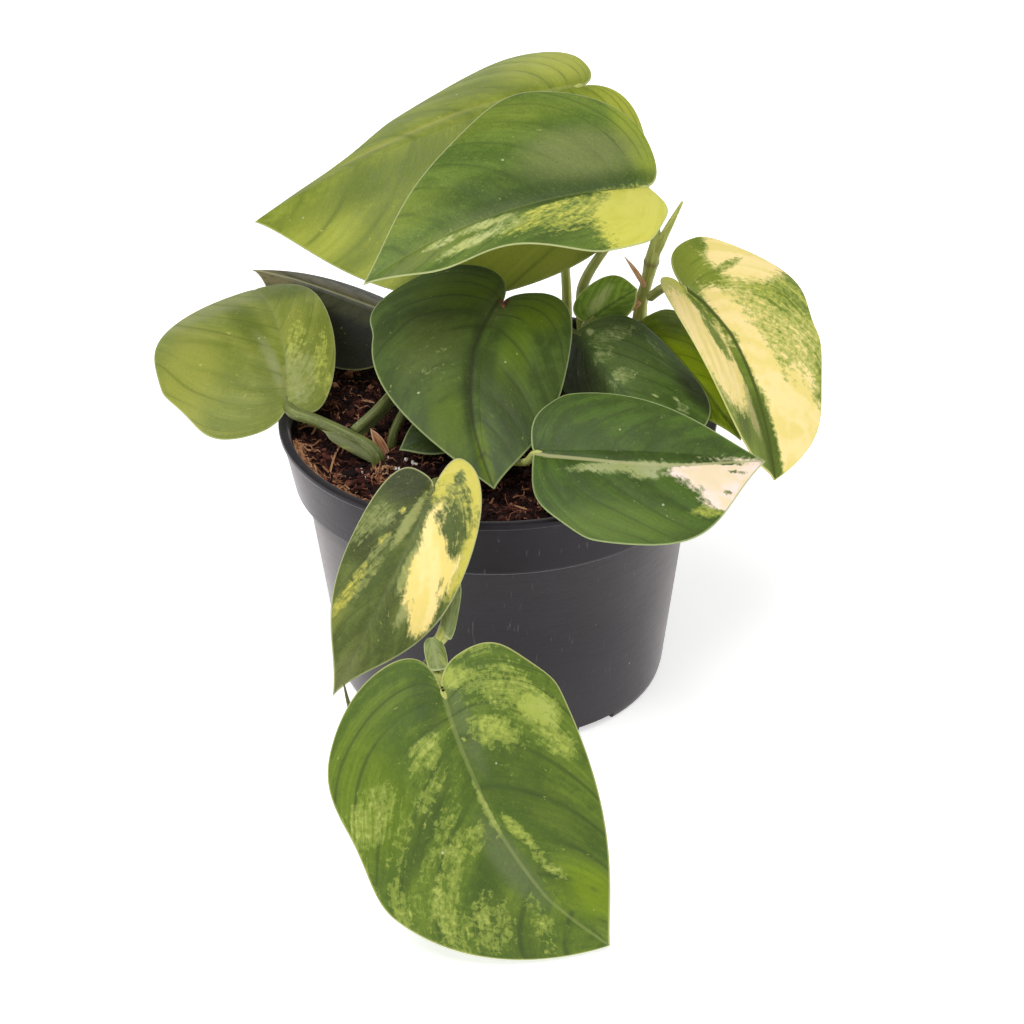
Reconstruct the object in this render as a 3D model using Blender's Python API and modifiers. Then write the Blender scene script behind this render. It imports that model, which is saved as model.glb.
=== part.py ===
"""Potted satin pothos: heart-shaped leaves on petioles, rooted in a filled plastic nursery pot.

Metres, +Z up. The origin is the centre of the pot's base, on the surface it stands on, and -Y is
the front. Sizes and places below are millimetres, and MM makes them metres where a mesh is built.
Each leaf is one solid, blade and petiole together, as it grew.
"""

from dataclasses import dataclass
from math import cos, pi, radians, sin

import bmesh
import bpy
from mathutils import Vector

MM = 0.001

# Pot
POT_HEIGHT = 79.5
RIM_RADIUS = 60.0
RIM_LIP_HEIGHT = 1.6
RIM_EDGE = 0.5
WALL = 1.3
COLLAR_BOTTOM = 62.0
COLLAR_BOTTOM_RADIUS = 56.3
COLLAR_TOP_RADIUS = 59.2
NECK_RADIUS = 53.3
BASE_RADIUS = 45.6
BASE_ROUNDING = 1.4
FOOT_INNER_RADIUS = 37.0
FOOT_HEIGHT = 2.4
FLOOR_TOP = 4.0
CENTRE_PAD_RADIUS = 8.0
POT_STEPS = 48
NOTCHES = 6
NOTCH_WIDTH = 12.0
NOTCH_LENGTH = 14.0
NOTCH_CENTRE_RADIUS = 42.0
NOTCH_DEPTH = 2.25
NOTCH_FIRST_ANGLE = -55.0
DRAINS = 6
DRAIN_SIDES = 14
DRAIN_CUT_HEIGHT = 8.0
DRAIN_RADIUS = 3.5
DRAIN_CIRCLE_RADIUS = 28.0

# Soil
CLEARANCE = 0.35
SOIL_LEVEL = 75.0
SOIL_RELIEF = 0.9
SOIL_STEPS = 48
SOIL_RINGS = (12.0, 24.0, 35.0, 45.0, 52.0)
SOIL_EDGE = 56.2
HOLE_BOTTOM = 64.0
ROOT_BOTTOM = 64.5
HOLE_CLEARANCE = 0.7
HOLE_TOP = SOIL_LEVEL + 6
HOLE_SIDES = 10

# Leaves
BLADE_THICKNESS = 0.8
BLADE_ROWS = 14
HALF_COLUMNS = 3
PETIOLE_BEVEL = 1
PETIOLE_POINTS = 13
# A petiole ends below the blade's base, and then sunk into the underside of its midrib
PETIOLE_BELOW = 0.9
PETIOLE_SUNK_REACH = 2.2
PETIOLE_SUNK_BELOW = 0.4
PETIOLE_END_RADIUS = 0.55
SCALE_THICKNESS = 0.6

COLOURS = {
    "pot": ((0.055, 0.053, 0.062), 0.42),
    "soil": ((0.055, 0.022, 0.014), 0.95),
    "dark_leaf": ((0.045, 0.105, 0.022), 0.38),
    "green_leaf": ((0.10, 0.21, 0.035), 0.38),
    "lime_leaf": ((0.27, 0.40, 0.07), 0.42),
    "cream_leaf": ((0.62, 0.60, 0.25), 0.42),
    "stem": ((0.13, 0.22, 0.05), 0.45),
    "dry": ((0.38, 0.17, 0.07), 0.8),
}


@dataclass
class Blade:
    """A heart-shaped blade. Pairs are the halves to the left and right of the midrib, seen from
    above with the tip ahead. facing is the azimuth, from the front to the right, and elevation
    of the way the upper side looks. Angles are degrees. point is how full the outline is just
    before the tip, and spread how far out the back of the lobe lies, as shares of the width.
    Each dent is its place along the midrib and its span, as shares of the length, and its depth
    as a share of the width, which is negative for a bulge."""

    base: tuple
    tip: tuple
    facing: tuple
    width: tuple
    lobe: tuple
    widest: tuple = (0.3, 0.3)
    fullness: tuple = (0.5, 0.5)
    point: tuple = (0.3, 0.3)
    spread: tuple = (0.42, 0.42)
    dents: tuple = ((), ())
    bend: float = 20.0
    fold: tuple = (8.0, 8.0)
    arch: tuple = (20.0, 20.0)
    sweep: float = 0.0
    twist: float = 0.0
    thickness: float = BLADE_THICKNESS


@dataclass
class Leaf:
    """A blade and the way of its petiole, from its foot up to just before the blade."""

    colour: str
    blade: Blade
    petiole: tuple
    radius: tuple
    rooted: bool = False


LEAVES = {
    "leaf_top_rear": Leaf(
        "lime_leaf",
        Blade(
            base=(25, 72, 144.3), tip=(-68, 52, 113), facing=(0, 50), width=(51, 32.5),
            lobe=(13.5, 7), widest=(0.36, 0.16), fullness=(0.6, 0.0), point=(0.3, 0.05),
            spread=(0.3, 0.42), dents=((), ((0.42, 0.35, 0.13), (0.75, 0.22, 0.4))),
            bend=44, fold=(-4, -27), arch=(20, 24), twist=16,
        ),
        ((20, 42, 78), (20, 46, 92), (19.5, 56, 104), (20, 70, 122), (23.5, 75, 137)),
        (1.5, 1.1),
        rooted=True,
    ),
    "leaf_top_front": Leaf(
        "green_leaf",
        Blade(
            base=(41, 18, 138), tip=(-35, -8, 123), facing=(0, 78), width=(31, 41.5),
            lobe=(0.3, 6), widest=(0.25, 0.3), fullness=(0.5, -0.2),
            dents=(((0.0, 0.14, 0.2), (0.55, 0.28, 0.35)), ((0.55, 0.35, 0.2),)),
            bend=20, fold=(16, 19), arch=(18, 20), sweep=-5,
        ),
        ((25, 34, 78), (24, 36, 92), (25, 38, 100), (32, 36, 113), (40, 27, 128)),
        (1.8, 1.3),
        rooted=True,
    ),
    "leaf_left": Leaf(
        "lime_leaf",
        Blade(
            base=(-57, -5, 86), tip=(-68, 39.6, 98), facing=(-10, 78), width=(36.2, 14.6),
            lobe=(7.5, 4), widest=(0.5, 0.5), fullness=(1.0, 1.0), point=(0.45, 0.9),
            spread=(0.35, 0.5), dents=(((0.0, 0.3, 0.1),), ()),
            bend=50, fold=(5, 5), arch=(25, 25), sweep=-3, twist=-6,
        ),
        ((-33, -20, 78.4), (-39, -16, 81), (-49, -10.5, 83.5), (-55, -8, 84.6)),
        (2.1, 1.6),
        rooted=True,
    ),
    "leaf_left_rear": Leaf(
        "dark_leaf",
        Blade(
            base=(-30, 25, 95.2), tip=(-69.7, 54.6, 96.8), facing=(10, 62), width=(18.5, 12),
            lobe=(5, 4), bend=10, fold=(-22, -20),
        ),
        ((-38.8, -13.9, 82.1), (-31, -7, 86.5), (-24, 6, 90.5), (-22.5, 19, 93.4)),
        (1.3, 1.0),
    ),
    "leaf_centre": Leaf(
        "dark_leaf",
        Blade(
            base=(2, 8, 109), tip=(-1, -46, 82), facing=(0, 50), width=(22.8, 32),
            lobe=(3.5, 14), widest=(0.32, 0.12), fullness=(0.6, 0.65), spread=(0.38, 0.56),
            dents=((), ((-0.08, 0.3, -0.2),)),
            bend=20, fold=(8, 8), arch=(25, 25), sweep=-5,
        ),
        ((-28.5, -10, 78), (-24, -6, 86), (-14, 3, 95), (-4, 10, 102), (0.5, 11.5, 106)),
        (1.2, 1.0),
        rooted=True,
    ),
    "leaf_centre_small": Leaf(
        "dark_leaf",
        Blade(
            base=(-8, -17, 86), tip=(-26.5, -22, 80.5), facing=(-15, 60), width=(7, 8),
            lobe=(2, 2), bend=14,
        ),
        ((-3, -10, 78), (-3.5, -12, 83), (-6, -15, 85)),
        (1.0, 0.8),
        rooted=True,
    ),
    "leaf_right_front": Leaf(
        "dark_leaf",
        Blade(
            base=(9.5, -43, 91.5), tip=(70, -42, 87), facing=(0, 60), width=(17.5, 27.6),
            lobe=(0.8, 0.5), widest=(0.25, 0.46), fullness=(0.1, 0.2), point=(0.3, 0.55),
            spread=(0.3, 0.34),
            dents=(((0.0, 0.15, 0.12),), ((0.05, 0.2, 0.12),)),
            bend=14, fold=(12, 10),
        ),
        ((-1, -24, 77.5), (0, -27, 80), (3.5, -32.5, 82.5), (7.4, -39.2, 86.2)),
        (1.3, 1.0),
        rooted=True,
    ),
    "leaf_right_cream": Leaf(
        "cream_leaf",
        Blade(
            base=(51, 15, 109.5), tip=(74.5, -20, 68), facing=(15, 52), width=(29.5, 15),
            lobe=(13, 3), widest=(0.22, 0.45), fullness=(1.0, 0.9), point=(0.75, 0.3),
            spread=(0.52, 0.3), dents=(((0.1, 0.3, -0.15), (0.72, 0.3, 0.14)), ()),
            bend=24, fold=(0, 42), arch=(25, 10), sweep=3.5,
        ),
        ((42.9, 30.1, 98.5), (46, 26.4, 103), (49, 20.5, 107)),
        (1.3, 1.0),
    ),
    "leaf_right_dark": Leaf(
        "dark_leaf",
        Blade(
            base=(22, 8, 99.8), tip=(49.5, -29, 83), facing=(20, 55), width=(23, 15),
            lobe=(1, 3), widest=(0.45, 0.4), fullness=(1.0, 0.4), point=(0.4, 0.3),
            bend=20, fold=(0, -45), arch=(25, 20), sweep=-3,
        ),
        ((18.5, 18, 78), (18.5, 15, 91), (18.9, 11.5, 98)),
        (1.1, 0.9),
        rooted=True,
    ),
    "leaf_right_rear": Leaf(
        "green_leaf",
        Blade(
            base=(39.8, 23, 94.8), tip=(65.6, -15.4, 78), facing=(25, 50), width=(14, 10),
            lobe=(0.3, 0.5), widest=(0.4, 0.35), spread=(0.5, 0.42), bend=26,
        ),
        ((33.5, 23, 78), (34, 25, 86), (37, 25.2, 91.5)),
        (1.2, 1.0),
        rooted=True,
    ),
    "leaf_right_small": Leaf(
        "green_leaf",
        Blade(
            base=(25.3, 20, 96.6), tip=(39.2, 25, 103.7), facing=(0, 60), width=(9, 6),
            lobe=(2, 1), widest=(0.45, 0.4), fullness=(1.0, 0.8), point=(0.5, 0.3),
        ),
        ((26, 27.5, 78), (25, 27, 86), (24.3, 23.5, 93)),
        (1.0, 0.8),
        rooted=True,
    ),
    "leaf_hanging_cream": Leaf(
        "cream_leaf",
        Blade(
            base=(-16.3, -65.1, 94), tip=(-42.7, -93.1, 49.7), facing=(-5, 38),
            width=(16.3, 14.2), lobe=(10, 2.5), widest=(0.35, 0.35), fullness=(0.3, 0.2),
            point=(0.15, 0.3), spread=(0.26, 0.42), bend=20, sweep=1,
        ),
        ((-14.8, -52.7, 87.4), (-15.6, -53.8, 89.2), (-16.2, -58, 91.2), (-16.4, -62, 92.5)),
        (1.2, 1.0),
    ),
    "leaf_hanging_green": Leaf(
        "green_leaf",
        Blade(
            base=(-14.5, -105.2, 59.1), tip=(26.3, -134.7, 1.7), facing=(0, 42),
            width=(29, 38.8), lobe=(5.5, 13), widest=(0.24, 0.2), fullness=(0.6, 0.75),
            point=(0.3, 0.6), spread=(0.26, 0.36),
            dents=(((0.0, 0.2, 0.13),), ((0.25, 0.28, 0.1),)),
            bend=22, fold=(6, 6), sweep=-6,
        ),
        ((-16.6, -89, 61.5), (-16.3, -94, 60.8), (-15.2, -101.6, 58.9)),
        (1.4, 1.1),
    ),
}

# Shoots that carry leaves, and the ways that they take
RIGHT_SHOOT = (
    (39.3, 32.3, 78), (40.6, 33, 95), (42.2, 32, 103), (44.2, 30, 115), (44.6, 29.5, 121),
)
RIGHT_SHOOT_RADII = (1.9, 1.9, 1.8, 1.8, 1.8, 2.2, 1.7, 1.65, 1.6, 2.0, 1.5, 1.2, 0.5)
RIGHT_SHOOT_POINTS = 25
ROLLED_LEAF = ((43.2, 31, 109), (46.5, 28.8, 118), (51.2, 26, 129.5))
ROLLED_LEAF_RADII = (1.3, 1.4, 1.0, 0.35)
FRONT_VINE = (
    (-14, -43, 79), (-13.7, -48.5, 83.4), (-13.5, -56, 85.2), (-13.2, -62, 83),
    (-12.6, -65.3, 78), (-11.8, -68.5, 72), (-11.6, -74, 66.8), (-13.4, -81, 62.4),
    (-16.2, -88.2, 61.6),
)
FRONT_VINE_RADII = (1.7, 1.7, 1.7, 1.7, 2.1, 1.6, 1.6, 1.6, 1.6, 1.6, 1.9, 1.5)
FRONT_VINE_POINTS = 29

# Papery brown scales that old leaves left at the shoots
DRY_SCALES = {
    "dry_scale_left": Blade(
        (-30.3, -15.3, 75.9), (-34.4, -13, 82.4), (20, 20), (1.6, 1.4), (0.4, 0.4),
        thickness=SCALE_THICKNESS,
    ),
    "dry_scale_right": Blade(
        (39.6, 30.6, 97.2), (34.6, 29, 94.2), (0, 50), (1.7, 1.6), (0.4, 0.4),
        thickness=SCALE_THICKNESS,
    ),
    "dry_scale_thin": Blade(
        (41.5, 29.9, 101.8), (35.2, 26.2, 113.6), (20, 20), (0.8, 0.8), (0.2, 0.2),
        bend=30, thickness=SCALE_THICKNESS,
    ),
}
SCALE_ROWS = 7


def catmull_rom(points, count):
    """count places, evenly spread in parameter, on a smooth curve through the points."""
    ways = [Vector(p) for p in points]
    ways = [ways[0] * 2 - ways[1], *ways, ways[-1] * 2 - ways[-2]]
    spans = len(ways) - 3
    out = []
    for k in range(count):
        place = k / (count - 1) * spans
        i = min(int(place), spans - 1)
        t = place - i
        a, b, c, d = ways[i : i + 4]
        out.append(
            0.5 * (2 * b + (c - a) * t + (2 * a - 5 * b + 4 * c - d) * t**2
                   + (3 * b - a - 3 * c + d) * t**3)
        )
    return out


def bezier(p0, p1, p2, p3, t):
    u = 1 - t
    return tuple(
        u**3 * a + 3 * u * u * t * b + 3 * u * t * t * c + t**3 * d
        for a, b, c, d in zip(p0, p1, p2, p3)
    )


# Shares of the rows of a blade that its lobe's back, and its widest place, are reached at, and
# how far along the midrib those rows start
LOBE_ROW, WIDE_ROW = 0.16, 0.42
LOBE_RIB, WIDE_RIB = 0.015, 0.12


def half_outline(blade, side, length, s):
    """The margin of one half of a flat blade, from the petiole (s=0) round the lobe to the tip."""
    width, lobe, fullness = blade.width[side], blade.lobe[side], blade.fullness[side]
    spread = blade.spread[side]
    back = (-lobe, spread * width)
    wide = (blade.widest[side] * length, width)
    if s <= LOBE_ROW:
        return bezier((0, 0), (-0.55 * lobe, 0.01 * width), (-lobe, 0.3 * spread * width),
                      back, s / LOBE_ROW)
    if s <= WIDE_ROW:
        return bezier(back, (-lobe, 0.78 * width), (0.25 * wide[0], width), wide,
                      (s - LOBE_ROW) / (WIDE_ROW - LOBE_ROW))
    shoulder = (wide[0] + (0.32 + 0.16 * fullness) * length, width)
    before_tip = ((0.76 + 0.16 * fullness) * length, blade.point[side] * width)
    return bezier(wide, shoulder, before_tip, (length, 0), (s - WIDE_ROW) / (1 - WIDE_ROW))


def rib_place(s):
    """Where on the midrib, as a share of its length, the row s starts."""
    stops = ((0, 0), (LOBE_ROW, LOBE_RIB), (WIDE_ROW, WIDE_RIB), (1, 1))
    for (s0, r0), (s1, r1) in zip(stops, stops[1:]):
        if s <= s1:
            return r0 + (r1 - r0) * (s - s0) / (s1 - s0)
    return 1.0


def arc(distance, start, turn, span):
    """Across a blade: how far out and up a place lies whose surface rises at the angle start at
    the midrib and turns down by turn over span."""
    if abs(turn) < 1e-4:
        return distance * cos(start), distance * sin(start)
    end = start - turn * distance / span
    return span / turn * (sin(start) - sin(end)), span / turn * (cos(end) - cos(start))


def blade_point(blade, length, s, t):
    """A place on the blade in its own frame: +x to the tip, +y to the left half, +z up."""
    side = 0 if t >= 0 else 1
    width = blade.width[side]
    out = half_outline(blade, side, length, s)
    for place, span, depth in blade.dents[side]:
        share = 1 - ((out[0] / length - place) / span) ** 2
        if share > 0:
            out = (out[0], out[1] * (1 - depth * share**2))
    rib = rib_place(s) * length
    x = rib + (out[0] - rib) * abs(t)
    y, z = arc(out[1] * abs(t), radians(blade.fold[side]), radians(blade.arch[side]), width)
    y *= 1 - 2 * side
    turn = radians(blade.twist) * x / length
    y, z = y * cos(turn) - z * sin(turn), y * sin(turn) + z * cos(turn)
    share = max(min(x / length, 1), -0.3)
    y += 4 * blade.sweep * share * (1 - share)
    bend = radians(blade.bend)
    if x >= 0:
        slope = bend * (0.5 - x / length)
        along = length / bend * (sin(bend / 2) - sin(slope))
        up = length / bend * (cos(slope) - cos(bend / 2))
    else:
        slope = bend / 2
        along, up = x * cos(slope), x * sin(slope)
    return along - z * sin(slope), y, up + z * cos(slope)


def blade_axes(blade):
    """The blade's x, y and z axes in the world."""
    azimuth, elevation = (radians(a) for a in blade.facing)
    looks = Vector((sin(azimuth) * cos(elevation), -cos(azimuth) * cos(elevation),
                    sin(elevation)))
    ahead = (Vector(blade.tip) - Vector(blade.base)).normalized()
    up = (looks - ahead * looks.dot(ahead)).normalized()
    return ahead, up.cross(ahead), up


def blade_length(blade):
    """The midrib's own length, longer than the straight way from base to tip by its bend."""
    half = radians(blade.bend) / 2
    return (Vector(blade.tip) - Vector(blade.base)).length * half / sin(half)


def blade_mesh(name, blade, rows, half):
    """The middle surface of a blade as triangles, so that both its faces are split alike."""
    ahead, left, up = blade_axes(blade)
    base = Vector(blade.base)
    length = blade_length(blade)

    def place(s, t):
        x, y, z = blade_point(blade, length, s, t)
        return (base + ahead * x + left * y + up * z) * MM

    work = bmesh.new()
    first, last = work.verts.new(place(0, 0)), work.verts.new(place(1, 0))
    grid = [
        [work.verts.new(place(i / rows, j / half)) for j in range(-half, half + 1)]
        for i in range(1, rows)
    ]
    for j in range(2 * half):
        work.faces.new((first, grid[0][j], grid[0][j + 1]))
        work.faces.new((last, grid[-1][j + 1], grid[-1][j]))
    for low, high in zip(grid, grid[1:]):
        for j in range(2 * half):
            a, b, c, d = low[j], high[j], high[j + 1], low[j + 1]
            ways = ((a, b, c), (a, c, d)) if j < half else ((a, b, d), (b, c, d))
            for face in ways:
                work.faces.new(face)
    mesh = bpy.data.meshes.new(name)
    work.to_mesh(mesh)
    work.free()
    return mesh


def material(name):
    colour, roughness = COLOURS[name]
    made = bpy.data.materials.get(name) or bpy.data.materials.new(name)
    made.use_nodes = True
    shader = made.node_tree.nodes["Principled BSDF"]
    shader.inputs["Base Color"].default_value = (*colour, 1)
    shader.inputs["Roughness"].default_value = roughness
    made.diffuse_color = (*colour, 1)
    return made


def add_object(name, mesh, collection, colour=None):
    made = bpy.data.objects.new(name, mesh)
    collection.objects.link(made)
    if colour:
        mesh.materials.append(material(colour))
    return made


def helper(obj):
    """Marks an object as one that only cuts or joins."""
    obj.hide_render = True
    obj.display_type = "WIRE"
    return obj


def tube(name, points, radii, collection, colour=None, count=PETIOLE_POINTS):
    """A closed tube through the points, its radius going evenly through the given radii."""
    curve = bpy.data.curves.new(name, "CURVE")
    curve.dimensions = "3D"
    curve.bevel_depth = MM
    curve.bevel_resolution = PETIOLE_BEVEL
    curve.use_fill_caps = True
    spline = curve.splines.new("POLY")
    spline.points.add(count - 1)
    for k, place in enumerate(catmull_rom(points, count)):
        along = k / (count - 1) * (len(radii) - 1)
        i = min(int(along), len(radii) - 2)
        spline.points[k].co = (*(place * MM), 1)
        spline.points[k].radius = radii[i] + (radii[i + 1] - radii[i]) * (along - i)
    guide = bpy.data.objects.new(name + "_curve", curve)
    collection.objects.link(guide)
    bpy.context.view_layer.update()
    shape = guide.evaluated_get(bpy.context.evaluated_depsgraph_get())
    mesh = bpy.data.meshes.new_from_object(shape)
    bpy.data.objects.remove(guide)
    mesh.name = name
    work = bmesh.new()
    work.from_mesh(mesh)
    bmesh.ops.remove_doubles(work, verts=work.verts, dist=1e-6)
    bmesh.ops.recalc_face_normals(work, faces=work.faces)
    work.to_mesh(mesh)
    work.free()
    return add_object(name, mesh, collection, colour)


def boolean(obj, other, operation):
    cut = obj.modifiers.new(operation.title(), "BOOLEAN")
    cut.operation = operation
    cut.solver = "EXACT"
    if isinstance(other, bpy.types.Collection):
        cut.operand_type = "COLLECTION"
        cut.collection = other
    else:
        cut.object = other


def rooted(points):
    """The same way with a straight piece before it, down into the soil."""
    x, y, _ = points[0]
    return ((x, y, ROOT_BOTTOM), (x, y, SOIL_LEVEL - 3), *points)


def blade_object(name, blade, rows, half, colour, parts):
    """A blade as a closed thin solid, its middle surface thickened by half to each side."""
    made = add_object(name, blade_mesh(name, blade, rows, half), parts, colour)
    skin = made.modifiers.new("Thickness", "SOLIDIFY")
    skin.thickness = blade.thickness * MM
    skin.offset = 0
    return made


def leaf(name, spec, parts, helpers):
    """A blade joined to its petiole, whose end is sunk under the midrib's first stretch."""
    made = blade_object(name, spec.blade, BLADE_ROWS, HALF_COLUMNS, spec.colour, parts)
    ahead, _, up = blade_axes(spec.blade)
    base = Vector(spec.blade.base)
    slope = radians(spec.blade.bend) / 2
    rib = ahead * cos(slope) + up * sin(slope)
    under = up * cos(slope) - ahead * sin(slope)
    way = rooted(spec.petiole) if spec.rooted else spec.petiole
    sunk = base + rib * PETIOLE_SUNK_REACH - under * PETIOLE_SUNK_BELOW
    way = (*way, tuple(base - under * PETIOLE_BELOW), tuple(sunk))
    low, high = spec.radius
    radii = (low, low, (low + high) / 2, high, high, PETIOLE_END_RADIUS)
    boolean(made, helper(tube(name + "_petiole", way, radii, helpers)), "UNION")


def turned(name, profile, steps, collection, colour):
    """A profile of (radius, height) places from the axis up, over and down, turned all round."""
    work = bmesh.new()
    line = [work.verts.new((r * MM, 0, z * MM)) for r, z in profile]
    for a, b in zip(line, line[1:]):
        work.edges.new((a, b))
    mesh = bpy.data.meshes.new(name)
    work.to_mesh(mesh)
    work.free()
    made = add_object(name, mesh, collection, colour)
    turn = made.modifiers.new("Turn", "SCREW")
    turn.steps = turn.render_steps = steps
    turn.use_merge_vertices = True
    turn.merge_threshold = 1e-6
    return made


def pot(parts, cutters):
    lip = POT_HEIGHT - RIM_LIP_HEIGHT
    profile = (
        (0, FLOOR_TOP), (BASE_RADIUS - WALL, FLOOR_TOP),
        (NECK_RADIUS - WALL, COLLAR_BOTTOM - WALL),
        (COLLAR_BOTTOM_RADIUS - WALL, COLLAR_BOTTOM + WALL),
        (RIM_RADIUS - 2 * WALL, POT_HEIGHT - RIM_EDGE),
        (RIM_RADIUS - 2 * WALL + RIM_EDGE, POT_HEIGHT), (RIM_RADIUS - RIM_EDGE, POT_HEIGHT),
        (RIM_RADIUS, POT_HEIGHT - RIM_EDGE), (RIM_RADIUS, lip),
        (COLLAR_TOP_RADIUS, lip - 0.8), (COLLAR_BOTTOM_RADIUS + 0.2, COLLAR_BOTTOM + 0.8),
        (COLLAR_BOTTOM_RADIUS - 0.6, COLLAR_BOTTOM), (NECK_RADIUS, COLLAR_BOTTOM - 0.6),
        (BASE_RADIUS + 0.3, BASE_ROUNDING + 2), (BASE_RADIUS - 0.2, BASE_ROUNDING),
        (BASE_RADIUS - BASE_ROUNDING, 0), (FOOT_INNER_RADIUS, 0),
        (FOOT_INNER_RADIUS - 0.5, FOOT_HEIGHT), (CENTRE_PAD_RADIUS + 0.5, FOOT_HEIGHT),
        (CENTRE_PAD_RADIUS, 0), (0, 0),
    )
    made = turned("pot", profile, POT_STEPS, parts, "pot")
    for k in range(NOTCHES):
        angle = radians(NOTCH_FIRST_ANGLE + 360 / NOTCHES * k)
        bpy.ops.mesh.primitive_cube_add(size=1)
        notch = helper(bpy.context.object)
        notch.name = f"notch_{k}"
        notch.scale = (NOTCH_LENGTH * MM, NOTCH_WIDTH * MM, 2 * NOTCH_DEPTH * MM)
        notch.rotation_euler.z = angle
        notch.location = Vector((cos(angle), sin(angle), 0)) * NOTCH_CENTRE_RADIUS * MM
        move_to(notch, cutters)
    for k in range(DRAINS):
        angle = radians(NOTCH_FIRST_ANGLE + 360 / DRAINS * (k + 0.5))
        place = Vector((cos(angle), sin(angle), 0)) * DRAIN_CIRCLE_RADIUS
        cylinder(f"drain_{k}", place, DRAIN_RADIUS, 2 * DRAIN_CUT_HEIGHT, DRAIN_SIDES, cutters)
    boolean(made, cutters, "DIFFERENCE")


def move_to(obj, collection):
    for old in list(obj.users_collection):
        old.objects.unlink(obj)
    collection.objects.link(obj)


def cylinder(name, centre, radius, height, sides, collection):
    bpy.ops.mesh.primitive_cylinder_add(
        vertices=sides, radius=radius * MM, depth=height * MM,
        location=[c * MM for c in centre],
    )
    made = helper(bpy.context.object)
    made.name = name
    move_to(made, collection)
    return made


def soil_height(x, y):
    """The uneven top of the soil: a few slow waves across it."""
    waves = (
        sin(0.19 * x + 0.8) * cos(0.23 * y - 0.4)
        + 0.6 * sin(0.41 * x - 0.29 * y + 2.1)
        + 0.4 * cos(0.13 * x + 0.52 * y)
    )
    return SOIL_LEVEL + SOIL_RELIEF * waves / 1.4


def soil(parts, cutters):
    """The filled inside of the pot, with an uneven top and a blind hole for each stem."""
    work = bmesh.new()

    def ring(radius, height=None):
        out = []
        for k in range(SOIL_STEPS):
            x = radius * cos(2 * pi * k / SOIL_STEPS)
            y = radius * sin(2 * pi * k / SOIL_STEPS)
            z = soil_height(x, y) if height is None else height
            out.append(work.verts.new((x * MM, y * MM, z * MM)))
        return out

    inset = WALL + CLEARANCE
    rings = [ring(r) for r in SOIL_RINGS] + [
        ring(SOIL_EDGE), ring(COLLAR_BOTTOM_RADIUS - inset, COLLAR_BOTTOM + inset),
        ring(NECK_RADIUS - inset, COLLAR_BOTTOM - WALL + CLEARANCE),
        ring(BASE_RADIUS - inset - CLEARANCE, FLOOR_TOP + CLEARANCE),
    ]
    top = work.verts.new((0, 0, soil_height(0, 0) * MM))
    for inner, outer in zip(rings, rings[1:]):
        for k in range(SOIL_STEPS):
            m = (k + 1) % SOIL_STEPS
            work.faces.new((inner[k], outer[k], outer[m], inner[m]))
    for k in range(SOIL_STEPS):
        work.faces.new((top, rings[0][k], rings[0][(k + 1) % SOIL_STEPS]))
    work.faces.new(tuple(reversed(rings[-1])))
    bmesh.ops.triangulate(work, faces=work.faces)
    mesh = bpy.data.meshes.new("soil")
    work.to_mesh(mesh)
    work.free()
    made = add_object("soil", mesh, parts, "soil")
    boolean(made, cutters, "DIFFERENCE")


def stem_hole(name, foot, radius, cutters):
    """A round hole for a stem that goes straight down at foot, open above the soil."""
    place = (foot[0], foot[1], (HOLE_BOTTOM + HOLE_TOP) / 2)
    cylinder(name + "_hole", place, radius + HOLE_CLEARANCE, HOLE_TOP - HOLE_BOTTOM, HOLE_SIDES,
             cutters)


def right_shoot(parts, helpers):
    """An upright shoot, thicker at its joints, with a new leaf still rolled at its top."""
    made = tube("stem_right", rooted(RIGHT_SHOOT), RIGHT_SHOOT_RADII, parts, "stem",
                RIGHT_SHOOT_POINTS)
    roll = helper(tube("rolled_leaf", ROLLED_LEAF, ROLLED_LEAF_RADII, helpers))
    boolean(made, roll, "UNION")


def main():
    for old in list(bpy.data.objects):
        bpy.data.objects.remove(old)
    collections = []
    for name in ("potted_satin_pothos", "pot_cutters", "soil_cutters", "joined_shapes"):
        made = bpy.data.collections.new(name)
        bpy.context.scene.collection.children.link(made)
        collections.append(made)
    parts, pot_cutters, soil_cutters, helpers = collections
    pot(parts, pot_cutters)
    for name, spec in LEAVES.items():
        leaf(name, spec, parts, helpers)
        if spec.rooted:
            stem_hole(name, spec.petiole[0], spec.radius[0], soil_cutters)
    right_shoot(parts, helpers)
    stem_hole("stem_right", RIGHT_SHOOT[0], RIGHT_SHOOT_RADII[0], soil_cutters)
    # The vine climbs over the front of the rim and hangs free, with a joint at its end
    tube("stem_front", rooted(FRONT_VINE), FRONT_VINE_RADII, parts, "stem", FRONT_VINE_POINTS)
    stem_hole("stem_front", FRONT_VINE[0], FRONT_VINE_RADII[0], soil_cutters)
    for name, scale in DRY_SCALES.items():
        blade_object(name, scale, SCALE_ROWS, 1, "dry", parts)
    soil(parts, soil_cutters)


main()
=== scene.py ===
"""Looks of the potted satin pothos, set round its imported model.

Metres and +Z up, as in the model: the origin is the centre of the pot's base, and -Y is the front.
Sizes and places below are millimetres, and MM makes them metres where a mesh is built. The leaves
repeat the values and the outline rules of the part's source, on finer meshes.
"""

from dataclasses import dataclass, replace
from math import cos, hypot, pi, radians, sin

import bmesh
import bpy
import numpy as np
from mathutils import Matrix, Vector, noise


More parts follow.
